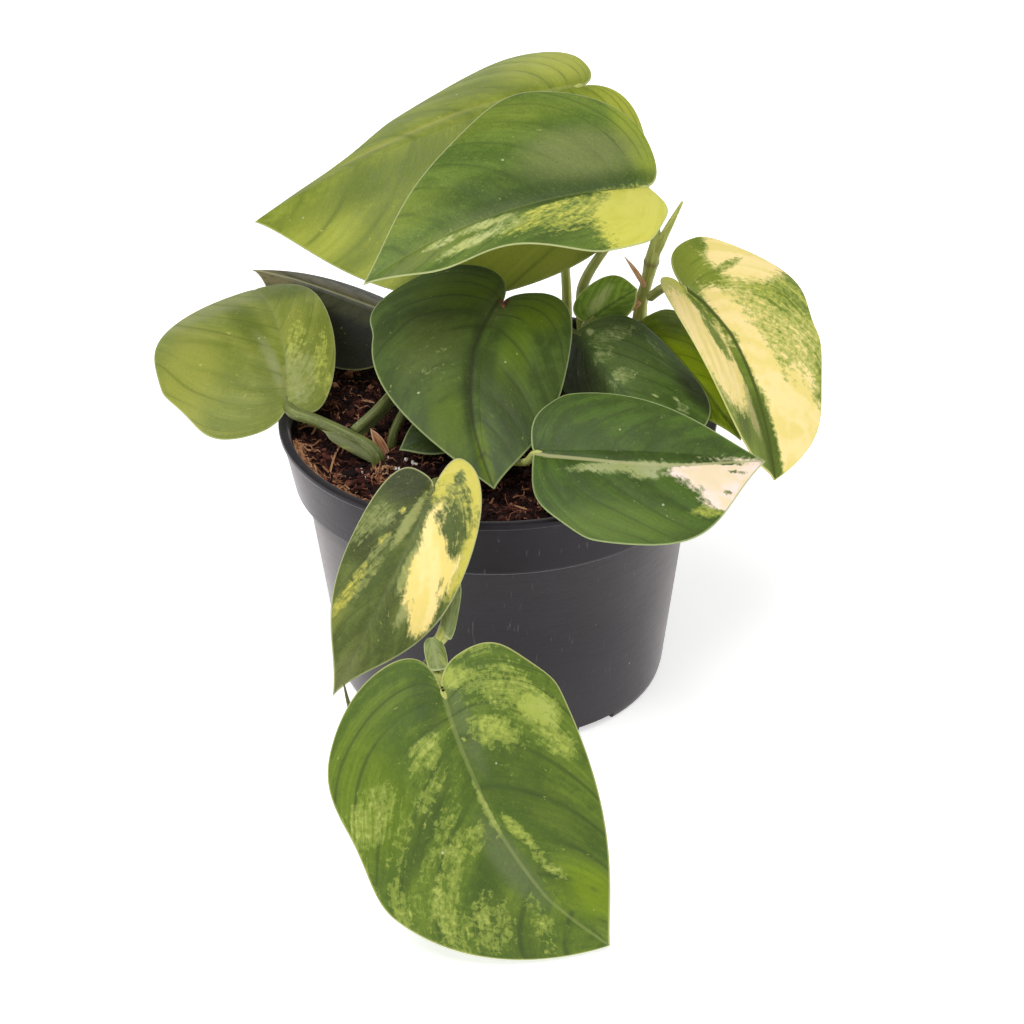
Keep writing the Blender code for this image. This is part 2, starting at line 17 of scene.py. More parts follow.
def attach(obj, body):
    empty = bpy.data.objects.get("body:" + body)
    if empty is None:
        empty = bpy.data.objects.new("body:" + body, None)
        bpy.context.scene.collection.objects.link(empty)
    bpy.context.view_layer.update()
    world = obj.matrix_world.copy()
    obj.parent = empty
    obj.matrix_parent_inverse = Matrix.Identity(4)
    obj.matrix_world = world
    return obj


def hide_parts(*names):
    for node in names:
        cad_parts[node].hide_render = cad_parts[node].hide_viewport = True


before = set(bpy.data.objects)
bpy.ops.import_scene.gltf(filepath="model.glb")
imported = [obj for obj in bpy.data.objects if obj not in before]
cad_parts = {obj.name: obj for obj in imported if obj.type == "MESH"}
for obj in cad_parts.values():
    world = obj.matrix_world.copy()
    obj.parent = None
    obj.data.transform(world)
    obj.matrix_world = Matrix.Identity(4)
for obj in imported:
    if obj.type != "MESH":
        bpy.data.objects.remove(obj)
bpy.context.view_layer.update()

MM = 0.001
random = np.random.default_rng(7)

# Pot, as in the model
POT_HEIGHT = 79.5
RIM_RADIUS = 60.0
WALL = 1.3
COLLAR_BOTTOM = 62.0
COLLAR_BOTTOM_RADIUS = 56.3
COLLAR_TOP_RADIUS = 59.2
NECK_RADIUS = 53.3
BASE_RADIUS = 45.6
FLOOR_TOP = 4.0
FOOT_HEIGHT = 2.4
FOOT_INNER_RADIUS = 37.0
CENTRE_PAD_RADIUS = 8.0
NOTCHES = 6
NOTCH_FIRST_ANGLE = -55.0
NOTCH_SIZE = (14.0, 12.0, 4.5)
NOTCH_CENTRE_RADIUS = 42.0
DRAINS = 6
DRAIN_RADIUS = 3.5
DRAIN_CIRCLE_RADIUS = 28.0
POT_STEPS = 192
DRAIN_SIDES = 32
DRAIN_CUT_HEIGHT = 16.0
SHARP_ANGLE = 40.0
# The pot is painted paler towards its foot, up to here, a painted reflection of the pale floor
FLOOR_REFLECTION_TOP = 38.0
POT_DARK, POT_LIGHT = (21, 17, 22), (31, 26, 33)
POT_SCRATCH, POT_DUST, POT_FLOOR_REFLECTION = (96, 92, 96), (150, 146, 146), (60, 56, 60)

# Soil
SOIL_LEVEL = 75.0
SOIL_RELIEF = 0.9
SOIL_EDGE = 56.6
SOIL_RINGS = 84
SOIL_STEPS = 300


def linear(red, green, blue):
    """A colour given in 0 to 255 display values, as the linear one that shaders take."""
    out = []
    for value in (red, green, blue):
        share = value / 255
        out.append(share / 12.92 if share <= 0.04045 else ((share + 0.055) / 1.055) ** 2.4)
    return (*out, 1.0)


@dataclass
class Blade:
    """A heart-shaped blade. Pairs are the halves to the left and right of the midrib, seen from
    above with the tip ahead. facing is the azimuth, from the front to the right, and elevation
    of the way the upper side looks. Angles are degrees. point is how full the outline is just
    before the tip, and spread how far out the back of the lobe lies, as shares of the width.
    Each dent is its place along the midrib and its span, as shares of the length, and its depth
    as a share of the width, which is negative for a bulge."""

    base: tuple
    tip: tuple
    facing: tuple
    width: tuple
    lobe: tuple
    widest: tuple = (0.3, 0.3)
    fullness: tuple = (0.5, 0.5)
    point: tuple = (0.3, 0.3)
    spread: tuple = (0.42, 0.42)
    dents: tuple = ((), ())
    bend: float = 20.0
    fold: tuple = (8.0, 8.0)
    arch: tuple = (20.0, 20.0)
    sweep: float = 0.0
    twist: float = 0.0


@dataclass
class Leaf:
    """A blade, the way of its petiole and the radii at its ends, its record slot, and whether
    the petiole comes out of the soil."""

    slot: str
    blade: Blade
    petiole: tuple
    radius: tuple
    rooted: bool = True


LEAVES = {
    "leaf_top_rear": Leaf(
        "lime_leaf",
        Blade(
            base=(25, 72, 144.3), tip=(-68, 52, 113), facing=(0, 50), width=(51, 32.5),
            lobe=(13.5, 7), widest=(0.36, 0.16), fullness=(0.6, 0.0), point=(0.3, 0.05),
            spread=(0.3, 0.42), dents=((), ((0.42, 0.35, 0.13), (0.75, 0.22, 0.4))),
            bend=44, fold=(-4, -27), arch=(20, 24), twist=16,
        ),
        ((20, 42, 78), (20, 46, 92), (19.5, 56, 104), (20, 70, 122), (23.5, 75, 137)),
        (1.5, 1.1),
    ),
    "leaf_top_front": Leaf(
        "green_leaf",
        Blade(
            base=(41, 18, 138), tip=(-35, -8, 123), facing=(0, 78), width=(31, 41.5),
            lobe=(0.3, 6), widest=(0.25, 0.3), fullness=(0.5, -0.2),
            dents=(((0.0, 0.14, 0.2), (0.55, 0.28, 0.35)), ((0.55, 0.35, 0.2),)),
            bend=20, fold=(16, 19), arch=(18, 20), sweep=-5,
        ),
        ((25, 34, 78), (24, 36, 92), (25, 38, 100), (32, 36, 113), (40, 27, 128)),
        (1.8, 1.3),
    ),
    "leaf_left": Leaf(
        "lime_leaf",
        Blade(
            base=(-57, -5, 86), tip=(-68, 39.6, 98), facing=(-10, 78), width=(36.2, 14.6),
            lobe=(7.5, 4), widest=(0.5, 0.5), fullness=(1.0, 1.0), point=(0.45, 0.9),
            spread=(0.35, 0.5), dents=(((0.0, 0.3, 0.1),), ()),
            bend=50, fold=(5, 5), arch=(25, 25), sweep=-3, twist=-6,
        ),
        ((-33, -20, 78.4), (-39, -16, 81), (-49, -10.5, 83.5), (-55, -8, 84.6)),
        (2.1, 1.6),
    ),
    "leaf_left_rear": Leaf(
        "dark_leaf",
        Blade(
            base=(-30, 25, 95.2), tip=(-69.7, 54.6, 96.8), facing=(10, 62), width=(18.5, 12),
            lobe=(5, 4), fullness=(0.2, 0.5), point=(0.08, 0.3), bend=10, fold=(-22, -20),
        ),
        ((-38.8, -13.9, 82.1), (-31, -7, 86.5), (-24, 6, 90.5), (-22.5, 19, 93.4)),
        (1.3, 1.0),
        rooted=False,
    ),
    "leaf_centre": Leaf(
        "dark_leaf",
        Blade(
            base=(2, 8, 109), tip=(-1, -46, 82), facing=(0, 50), width=(22.8, 32),
            lobe=(3.5, 14), widest=(0.32, 0.12), fullness=(0.6, 0.65), spread=(0.38, 0.56),
            dents=((), ((-0.08, 0.3, -0.2),)),
            bend=20, fold=(8, 8), arch=(25, 25), sweep=-5,
        ),
        ((-28.5, -10, 78), (-24, -6, 86), (-14, 3, 95), (-4, 10, 102), (0.5, 11.5, 106)),
        (1.2, 1.0),
    ),
    "leaf_centre_small": Leaf(
        "dark_leaf",
        Blade(
            base=(-8, -17, 86), tip=(-26.5, -22, 80.5), facing=(-15, 60), width=(7, 8),
            lobe=(2, 2), bend=14,
        ),
        ((-3, -10, 78), (-3.5, -12, 83), (-6, -15, 85)),
        (1.0, 0.8),
    ),
    "leaf_right_front": Leaf(
        "dark_leaf",
        Blade(
            base=(9.5, -43, 91.5), tip=(70, -42, 87), facing=(0, 60), width=(17.5, 27.6),
            lobe=(0.8, 0.5), widest=(0.25, 0.46), fullness=(0.1, 0.2), point=(0.3, 0.55),
            spread=(0.3, 0.34),
            dents=(((0.0, 0.15, 0.12),), ((0.05, 0.2, 0.12),)),
            bend=14, fold=(12, 10),
        ),
        ((-1, -24, 77.5), (0, -27, 80), (3.5, -32.5, 82.5), (7.4, -39.2, 86.2)),
        (1.3, 1.0),
    ),
    "leaf_right_cream": Leaf(
        "cream_leaf",
        Blade(
            base=(51, 15, 109.5), tip=(74.5, -20, 68), facing=(15, 52), width=(29.5, 15),
            lobe=(13, 3), widest=(0.22, 0.45), fullness=(1.0, 0.9), point=(0.75, 0.3),
            spread=(0.52, 0.3), dents=(((0.1, 0.3, -0.15), (0.72, 0.3, 0.14)), ()),
            bend=24, fold=(0, 42), arch=(25, 10), sweep=3.5,
        ),
        ((42.9, 30.1, 98.5), (46, 26.4, 103), (49, 20.5, 107)),
        (1.3, 1.0),
        rooted=False,
    ),
    "leaf_right_dark": Leaf(
        "dark_leaf",
        Blade(
            base=(22, 8, 99.8), tip=(49.5, -29, 83), facing=(20, 55), width=(23, 15),
            lobe=(1, 3), widest=(0.45, 0.4), fullness=(1.0, 0.4), point=(0.4, 0.3),
            bend=20, fold=(0, -45), arch=(25, 20), sweep=-3,
        ),
        ((18.5, 18, 78), (18.5, 15, 91), (18.9, 11.5, 98)),
        (1.1, 0.9),
    ),
    "leaf_right_rear": Leaf(
        "green_leaf",
        Blade(
            base=(39.8, 23, 94.8), tip=(65.6, -15.4, 78), facing=(25, 50), width=(14, 10),
            lobe=(0.3, 0.5), widest=(0.4, 0.35), spread=(0.5, 0.42), bend=26,
        ),
        ((33.5, 23, 78), (34, 25, 86), (37, 25.2, 91.5)),
        (1.2, 1.0),
    ),
    "leaf_right_small": Leaf(
        "green_leaf",
        Blade(
            base=(25.3, 20, 96.6), tip=(39.2, 25, 103.7), facing=(0, 60), width=(9, 6),
            lobe=(2, 1), widest=(0.45, 0.4), fullness=(1.0, 0.8), point=(0.5, 0.3),
        ),
        ((26, 27.5, 78), (25, 27, 86), (24.3, 23.5, 93)),
        (1.0, 0.8),
    ),
    "leaf_hanging_cream": Leaf(
        "cream_leaf",
        Blade(
            base=(-16.3, -65.1, 94), tip=(-42.7, -93.1, 49.7), facing=(-5, 38),
            width=(16.3, 14.2), lobe=(10, 2.5), widest=(0.35, 0.35), fullness=(0.3, 0.2),
            point=(0.15, 0.3), spread=(0.26, 0.42), bend=20, sweep=1,
        ),
        ((-14.8, -52.7, 87.4), (-15.6, -53.8, 89.2), (-16.2, -58, 91.2), (-16.4, -62, 92.5)),
        (1.2, 1.0),
        rooted=False,
    ),
    "leaf_hanging_green": Leaf(
        "green_leaf",
        Blade(
            base=(-14.5, -105.2, 59.1), tip=(26.3, -134.7, 1.7), facing=(0, 42),
            width=(29, 38.8), lobe=(5.5, 13), widest=(0.24, 0.2), fullness=(0.6, 0.75),
            point=(0.3, 0.6), spread=(0.26, 0.36),
            dents=(((0.0, 0.2, 0.13),), ((0.25, 0.28, 0.1),)),
            bend=22, fold=(6, 6), sweep=-6,
        ),
        ((-16.6, -89, 61.5), (-16.3, -94, 60.8), (-15.2, -101.6, 58.9)),
        (1.4, 1.1),
        rooted=False,
    ),
}

# Shoots, and the new leaf that is still rolled
ROOT_BOTTOM = 64.5
RIGHT_SHOOT = (
    (39.3, 32.3, 78), (40.6, 33, 95), (42.2, 32, 103), (44.2, 30, 115), (44.6, 29.5, 121),
)
RIGHT_SHOOT_RADII = (1.9, 1.9, 1.8, 1.8, 1.8, 2.2, 1.7, 1.65, 1.6, 2.0, 1.5, 1.2, 0.5)
RIGHT_SHOOT_RINGS = (0.42, 0.75)
ROLLED_LEAF = ((43.2, 31, 109), (46.5, 28.8, 118), (51.2, 26, 129.5))
ROLLED_LEAF_RADII = (1.3, 1.4, 1.0, 0.35)
FRONT_VINE = (
    (-14, -43, 79), (-13.7, -48.5, 83.4), (-13.5, -56, 85.2), (-13.2, -62, 83),
    (-12.6, -65.3, 78), (-11.8, -68.5, 72), (-11.6, -74, 66.8), (-13.4, -81, 62.4),
    (-16.2, -88.2, 61.6),
)
FRONT_VINE_RADII = (1.7, 1.7, 1.7, 1.7, 2.1, 1.6, 1.6, 1.6, 1.6, 1.6, 1.9, 1.5)
FRONT_VINE_RINGS = (0.36, 0.91)

DRY_SCALES = {
    "dry_scale_left": Blade(
        (-30.3, -15.3, 75.9), (-34.4, -13, 82.4), (20, 20), (1.6, 1.4), (0.4, 0.4),
    ),
    "dry_scale_right": Blade(
        (39.6, 30.6, 97.2), (34.6, 29, 94.2), (0, 50), (1.7, 1.6), (0.4, 0.4),
    ),
    "dry_scale_thin": Blade(
        (41.5, 29.9, 101.8), (35.2, 26.2, 113.6), (20, 20), (0.8, 0.8), (0.2, 0.2), bend=30,
    ),
}

# Green sheaths of two petioles at the left, of the vine and of the hanging green leaf
SHEATHS = {
    "left_sheath": Blade(
        (-32.4, -21.6, 77.2), (-47.2, -18.2, 85.0), (-10, 48), (1.8, 2.1), (0.3, 0.3),
        widest=(0.55, 0.5), fullness=(0.3, 0.3), point=(0.3, 0.3), bend=24, fold=(-14, -30),
    ),
    "left_rear_sheath": Blade(
        (-39.5, -15.5, 81.6), (-25.0, 3.5, 88.6), (-10, 45), (1.6, 3.0), (0.4, 0.4),
        widest=(0.6, 0.6), fullness=(1, 1), point=(0.7, 0.8), bend=-14, fold=(-20, -30),
    ),
    "vine_sheath": Blade(
        (-13.7, -86.2, 62.9), (-11.2, -71.8, 70.8), (0, 42), (2.5, 2.5), (0.5, 0.5),
        widest=(0.5, 0.5), fullness=(1, 1), point=(0.9, 0.9), bend=-16, fold=(-24, -24),
    ),
    "hanging_sheath": Blade(
        (-17.2, -87.6, 63.4), (-15.3, -100.2, 61.9), (0, 60), (3.3, 3.0), (0.8, 0.8),
        widest=(0.4, 0.4), fullness=(1, 1), point=(0.8, 0.8), bend=12, fold=(-20, -20),
    ),
}

# Sheaths that lie in the shade of the leaves
SHADED_SHEATHS = ("left_sheath", "left_rear_sheath")

BLADE_THICKNESS = 0.55
SHEATH_THICKNESS = 0.4
SHEATH_RELIEF = 0.3
BLADE_ROWS = 120
HALF_COLUMNS = 26
SHEATH_ROWS = 36
SHEATH_COLUMNS = 8
# A petiole ends below the blade's base, and then sunk into the underside of its midrib
PETIOLE_BELOW = 0.9
PETIOLE_SUNK_REACH = 2.2
PETIOLE_SUNK_BELOW = 0.4
PETIOLE_END_RADIUS = 0.55
TUBE_SIDES = 24
RIDGES = 6
RIDGE_SHARE = 0.05
POINTS_PER_SPAN = 10
# Rings of a shoot: their width as a share of its length, and how far they stand out
RING_WIDTH = 0.012
RING_SWELL = 0.08
# The radius, in millimetres, that bark's pattern goes round every stem at
WAY_ROUND = 3


def catmull_rom(points, count):
    """count places, evenly spread in parameter, on a smooth curve through the points."""
    ways = [Vector(p) for p in points]
    ways = [ways[0] * 2 - ways[1], *ways, ways[-1] * 2 - ways[-2]]
    spans = len(ways) - 3
    out = []
    for k in range(count):
        place = k / (count - 1) * spans
        i = min(int(place), spans - 1)
        t = place - i
        a, b, c, d = ways[i : i + 4]
        out.append(
            0.5 * (2 * b + (c - a) * t + (2 * a - 5 * b + 4 * c - d) * t**2
                   + (3 * b - a - 3 * c + d) * t**3)
        )
    return out


def bezier(p0, p1, p2, p3, t):
    """The place at the share t of a cubic curve."""
    u = 1 - t
    return tuple(
        u**3 * a + 3 * u * u * t * b + 3 * u * t * t * c + t**3 * d
        for a, b, c, d in zip(p0, p1, p2, p3)
    )


# Shares of the rows of a blade that its lobe's back, and its widest place, are reached at, and
# how far along the midrib those rows start
LOBE_ROW, WIDE_ROW = 0.16, 0.42
LOBE_RIB, WIDE_RIB = 0.015, 0.12
# How far behind the base, as a share of the length, a blade's sweep still grows
LOBE_LIMIT = -0.3


def half_outline(blade, side, length, s):
    """The margin of one half of a flat blade, from the petiole (s=0) round the lobe to the tip."""
    width, lobe, fullness = blade.width[side], blade.lobe[side], blade.fullness[side]
    spread = blade.spread[side]
    back = (-lobe, spread * width)
    wide = (blade.widest[side] * length, width)
    if s <= LOBE_ROW:
        out = bezier((0, 0), (-0.55 * lobe, 0.01 * width), (-lobe, 0.3 * spread * width),
                     back, s / LOBE_ROW)
    elif s <= WIDE_ROW:
        out = bezier(back, (-lobe, 0.78 * width), (0.25 * wide[0], width), wide,
                     (s - LOBE_ROW) / (WIDE_ROW - LOBE_ROW))
    else:
        shoulder = (wide[0] + (0.32 + 0.16 * fullness) * length, width)
        before_tip = ((0.76 + 0.16 * fullness) * length, blade.point[side] * width)
        out = bezier(wide, shoulder, before_tip, (length, 0), (s - WIDE_ROW) / (1 - WIDE_ROW))
    for place, span, depth in blade.dents[side]:
        share = 1 - ((out[0] / length - place) / span) ** 2
        if share > 0:
            out = (out[0], out[1] * (1 - depth * share**2))
    return out


def rib_place(s):
    """Where on the midrib, as a share of its length, the row s starts."""
    return float(np.interp(s, (0, LOBE_ROW, WIDE_ROW, 1), (0, LOBE_RIB, WIDE_RIB, 1)))


def arc(distance, start, turn, span):
    """Across a blade: how far out and up a place lies whose surface rises at the angle start at
    the midrib and turns down by turn over span."""
    if abs(turn) < 1e-4:
        return distance * cos(start), distance * sin(start)
    end = start - turn * distance / span
    return span / turn * (sin(start) - sin(end)), span / turn * (cos(end) - cos(start))


def flat_place(blade, length, s, t):
    """Where a place lies on the flat blade: along the midrib, and out to the left or right."""
    side = 0 if t >= 0 else 1
    out = half_outline(blade, side, length, s)
    rib = rib_place(s) * length
    return rib + (out[0] - rib) * abs(t), out[1] * t


def curved_place(blade, length, x, flat_y):
    """A flat place on the folded, arched and bent blade: +x to the tip, +y left and +z up."""
    side = 0 if flat_y >= 0 else 1
    y, z = arc(abs(flat_y), radians(blade.fold[side]), radians(blade.arch[side]),
               blade.width[side])
    y *= 1 - 2 * side
    turn = radians(blade.twist) * x / length
    y, z = y * cos(turn) - z * sin(turn), y * sin(turn) + z * cos(turn)
    share = max(min(x / length, 1), LOBE_LIMIT)
    y += 4 * blade.sweep * share * (1 - share)
    bend = radians(blade.bend)
    if x >= 0:
        slope = bend * (0.5 - x / length)
        along = length / bend * (sin(bend / 2) - sin(slope))
        up = length / bend * (cos(slope) - cos(bend / 2))
    else:
        slope = bend / 2
        along, up = x * cos(slope), x * sin(slope)
    return along - z * sin(slope), y, up + z * cos(slope)


def blade_axes(blade):
    """The blade's x, y and z axes in the world."""
    azimuth, elevation = (radians(a) for a in blade.facing)
    looks = Vector((sin(azimuth) * cos(elevation), -cos(azimuth) * cos(elevation),
                    sin(elevation)))
    ahead = (Vector(blade.tip) - Vector(blade.base)).normalized()
    up = (looks - ahead * looks.dot(ahead)).normalized()
    return ahead, up.cross(ahead), up


def blade_length(blade):
    """The midrib's own length, longer than the straight way from base to tip by its bend."""
    half = radians(blade.bend) / 2
    return (Vector(blade.tip) - Vector(blade.base)).length * half / sin(half)


# How strongly the side veins bend to the tip, and how many a half has
VEIN_CURVE = 0.3
VEINS = 9
# The midrib's groove, and how much of it is gone at the tip
GROOVE_DEPTH = 0.4
GROOVE_WIDTH = 1.1
GROOVE_FADE = 0.7
# The swelling between side veins, which starts over SWELL_EASE from the midrib and the margin
SWELL_HEIGHT = 0.14
SWELL_POWER = 0.7
SWELL_BASE = 0.6
SWELL_EASE = 6.0


@dataclass
class Look:
    """Colours of a leaf, in display values, and its patches, each an ellipse on the flat blade:
    kind, place along the midrib and to the left, half sizes, turn and strength. Cream, lime and
    silver patches have ragged edges and are solid from a strength of 1, and streaky below that,
    and green cuts them away. Silver patches are partly the leaf's own silvery marks and partly
    painted sheen and painted highlights. Pale, deep and glow are soft. Pale patches are painted
    sheen and painted highlights, and some deep and glow patches are painted shade and painted
    light, as said at those leaves. rib_way says how far to the left of the fold the midrib's line
    lies, at shares of the length."""

    shade: tuple
    body: tuple
    glow: tuple = (140, 165, 66)
    deep: tuple = (50, 72, 32)
    # The colour of painted sheen and painted highlights
    pale: tuple = (150, 162, 124)
    # The colour of the silvery marks and of painted sheen
    silver_and_sheen: tuple = (158, 164, 112)
    lime: tuple = (168, 184, 78)
    cream: tuple = (244, 230, 150)
    under: tuple = (140, 158, 98)
    rib: tuple = (60, 80, 44)
    rib_share: float = 0.5
    rib_way: tuple = ((0, 0), (1, 0))
    margin: tuple = (168, 182, 124)
    veins: float = 0.3
    patches: tuple = ()


# Pale patches paint sheen and highlights, silver ones are silvery marks and painted sheen, and
# some deep and glow patches paint shade and light
PATCH_KINDS = ("cream", "lime", "silver_and_sheen", "pale", "deep", "glow", "green")
# A patch fades out between these shares of its half sizes
PATCH_EDGE = (0.5, 1.5)


def smooth(value, low, high):
    """Goes smoothly from 0 to 1 while value goes from low to high."""
    share = np.clip((value - low) / (high - low), 0, 1)
    return share * share * (3 - 2 * share)


def patch_fields(look, flat):
    """How strongly each kind of patch covers the places of a flat blade."""
    fields = {kind: np.zeros(flat.shape[:2]) for kind in PATCH_KINDS}
    for kind, x, y, half_x, half_y, turn, strength in look.patches:
        cosine, sine = cos(radians(turn)), sin(radians(turn))
        ahead, aside = flat[..., 0] - x, flat[..., 1] - y
        reach = np.hypot((ahead * cosine + aside * sine) / half_x,
                         (aside * cosine - ahead * sine) / half_y)
        fields[kind] = np.maximum(fields[kind], strength * (1 - smooth(reach, *PATCH_EDGE)))
    green = fields.pop("green")
    for kind in ("cream", "lime", "silver_and_sheen"):
        fields[kind] *= 1 - green
    return fields


def new_mesh(name, places, faces, smooth_faces=True, numbers=(), vectors=()):
    """A mesh whose places are metres, with numbers and vectors that its material reads."""
    mesh = bpy.data.meshes.new(name)
    mesh.from_pydata(places, [], faces)
    if smooth_faces:
        mesh.polygons.foreach_set("use_smooth", [True] * len(faces))
    for kind, field, attributes in (
        ("FLOAT", "value", numbers), ("FLOAT_VECTOR", "vector", vectors),
    ):
        for key, values in dict(attributes).items():
            made = mesh.attributes.new(key, kind, "POINT")
            made.data.foreach_set(field, np.asarray(values, np.float32).ravel())
    mesh.update()
    return mesh


def blade_mesh(name, blade, look, rows, half, thickness, relief=1.0):
    """A blade as one closed skin, thin and rounded at its margin, with sunk veins. It carries
    attributes that its material reads: flat, the place on the flat blade in millimetres; vein,
    which side vein is near and how far out; margin and rib, the distances to the margin and to
    the midrib's line, which is negative to its right; under, 1 on the underside; and the
    strength of each kind of patch."""
    ahead, left, up = (np.array(axis) for axis in blade_axes(blade))
    base, length = np.array(blade.base), blade_length(blade)
    outs = [0.5 - 0.5 * cos(pi * k / half) for k in range(half + 1)]
    shares = [-t for t in reversed(outs[1:])] + outs
    columns = len(shares)
    flat = np.zeros((rows + 1, columns, 2))
    middle = np.zeros((rows + 1, columns, 3))
    for i in range(rows + 1):
        for j, t in enumerate(shares):
            x, y = flat_place(blade, length, i / rows, t)
            flat[i, j] = x, y
            bent = curved_place(blade, length, x, y)
            middle[i, j] = base + ahead * bent[0] + left * bent[1] + up * bent[2]
    normal = np.cross(np.gradient(middle, axis=0), np.gradient(middle, axis=1))
    normal[0], normal[-1] = normal[1].mean(axis=0), normal[-2].mean(axis=0)
    normal /= np.linalg.norm(normal, axis=2, keepdims=True) + 1e-12

    row_share = np.linspace(0, 1, rows + 1)[:, None]
    out_share = np.abs(np.array(shares))[None, :]
    vein = (row_share - VEIN_CURVE * out_share**2) / (1 - VEIN_CURVE * out_share**2)
    rim = np.concatenate((flat[:, 0], flat[:, -1]))
    margin = np.sqrt(
        ((flat[:, :, None] - rim[None, None]) ** 2).sum(axis=3).min(axis=2)
    )
    along = np.clip(flat[..., 0] / length, 0, 1)
    off_line = flat[..., 1] - np.interp(along, *zip(*look.rib_way))
    rib = np.where(off_line < 0, -1, 1) * np.hypot(off_line, np.minimum(flat[..., 0], 0))
    groove = -GROOVE_DEPTH * np.exp(-((rib / GROOVE_WIDTH) ** 2)) * (1 - GROOVE_FADE * along)
    swell = SWELL_HEIGHT * (np.abs(np.sin(pi * VEINS * vein)) ** SWELL_POWER - SWELL_BASE)
    for distance in (np.abs(rib), margin):
        swell = swell * np.clip(distance / SWELL_EASE, 0, 1)
    middle = middle + normal * (relief * (groove + swell))[..., None]
    round_share = np.clip(margin / thickness, 0, 1)
    half_thick = thickness / 2 * np.sqrt(round_share * (2 - round_share))
    over = middle + normal * half_thick[..., None]
    below = middle - normal * half_thick[..., None]

    places, source = [], []

    def add(place, i, j, under):
        places.append(place * MM)
        source.append((i, j, under))
        return len(places) - 1

    first = add(middle[0, half], 0, half, 0.5)
    last = add(middle[rows, half], rows, half, 0.5)
    top = np.zeros((rows + 1, columns), int)
    bottom = np.zeros((rows + 1, columns), int)
    top[0], bottom[0], top[rows], bottom[rows] = first, first, last, last
    for i in range(1, rows):
        for j in range(columns):
            edge = j in (0, columns - 1)
            top[i, j] = add(middle[i, j] if edge else over[i, j], i, j, 0.5 if edge else 0)
            bottom[i, j] = top[i, j] if edge else add(below[i, j], i, j, 1)
    faces = []
    for i in range(rows):
        for j in range(columns - 1):
            for grid, order in ((top, (0, 1, 2, 3)), (bottom, (3, 2, 1, 0))):
                ring = (grid[i, j], grid[i + 1, j], grid[i + 1, j + 1], grid[i, j + 1])
                face = [int(ring[k]) for k in order]
                face = [v for k, v in enumerate(face) if v != face[k - 1]]
                if len(set(face)) > 2:
                    faces.append(face)
    i, j, under = (np.array(column) for column in zip(*source))
    i, j = i.astype(int), j.astype(int)
    numbers = {
        "rib": rib[i, j], "margin": margin[i, j], "under": under, "along": along[i, j],
    }
    for kind, field in patch_fields(look, flat).items():
        numbers[kind] = field[i, j]
    vectors = {
        "flat": np.stack((flat[i, j, 0], flat[i, j, 1], 0 * under), axis=1),
        "vein": np.stack((vein[i, j], out_share[0, j], np.sign(flat[i, j, 1])), axis=1),
    }
    return new_mesh(name, [tuple(p) for p in places], faces, True, numbers, vectors)


def place_piece(mesh, slot, material, *nodes):
    """Adds a mesh as a piece of the plant that has its name, in place of the model's nodes."""
    mesh.materials.append(material)
    made = bpy.data.objects.new(mesh.name, mesh)
    bpy.context.scene.collection.objects.link(made)
    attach(made, "root")
    if nodes:
        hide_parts(*nodes)
    return made


def tube_mesh(name, points, radii, rings=()):
    """A closed, smooth and finely ridged tube through the points, its radius going evenly through
    the radii. way says how far along and how far round a place lies, in millimetres, and ring
    how near it is to one of the rings, which are given as shares of the tube's points."""
    count = POINTS_PER_SPAN * (len(points) - 1) + 1
    ways = catmull_rom(points, count)
    knots = np.linspace(0, 1, len(radii))
    side = Vector((1, 0, 0.01)).normalized()
    places, faces, where, near = [], [], [], []
    length = 0
    for k, way in enumerate(ways):
        length += (way - ways[k - 1]).length if k else 0
        ahead = (ways[min(k + 1, count - 1)] - ways[max(k - 1, 0)]).normalized()
        side = (side - ahead * side.dot(ahead)).normalized()
        other = ahead.cross(side)
        share = k / (count - 1)
        radius = float(np.interp(share, knots, radii))
        ring = max((np.exp(-(((share - place) / RING_WIDTH) ** 2)) for place in rings), default=0)
        for m in range(TUBE_SIDES):
            turn = 2 * pi * m / TUBE_SIDES
            out = radius * (1 + RIDGE_SHARE * cos(RIDGES * turn) + RING_SWELL * ring)
            places.append((way + (side * cos(turn) + other * sin(turn)) * out) * MM)
            where.append((length, sin(turn) * WAY_ROUND, cos(turn) * WAY_ROUND))
            near.append(ring)
    for k in range(count - 1):
        for m in range(TUBE_SIDES):
            n = (m + 1) % TUBE_SIDES
            row, after = k * TUBE_SIDES, (k + 1) * TUBE_SIDES
            faces.append((row + m, row + n, after + n, after + m))
    for row, order in ((0, -1), ((count - 1) * TUBE_SIDES, 1)):
        faces.append([row + m for m in range(TUBE_SIDES)][::order])
    return new_mesh(name, [tuple(p) for p in places], faces, True, {"ring": near}, {"way": where})


def rooted(points):
    """The same way with a straight piece before it, down into the soil."""
    x, y, _ = points[0]
    return ((x, y, ROOT_BOTTOM), (x, y, SOIL_LEVEL - 3), *points)


def petiole_way(leaf):
    """The whole way of a leaf's petiole, whose end is sunk under the blade's first stretch."""
    ahead, _, up = blade_axes(leaf.blade)
    base = Vector(leaf.blade.base)
    slope = radians(leaf.blade.bend) / 2
    rib = ahead * cos(slope) + up * sin(slope)
    under = up * cos(slope) - ahead * sin(slope)
    way = rooted(leaf.petiole) if leaf.rooted else leaf.petiole
    sunk = base + rib * PETIOLE_SUNK_REACH - under * PETIOLE_SUNK_BELOW
    return (*way, tuple(base - under * PETIOLE_BELOW), tuple(sunk))


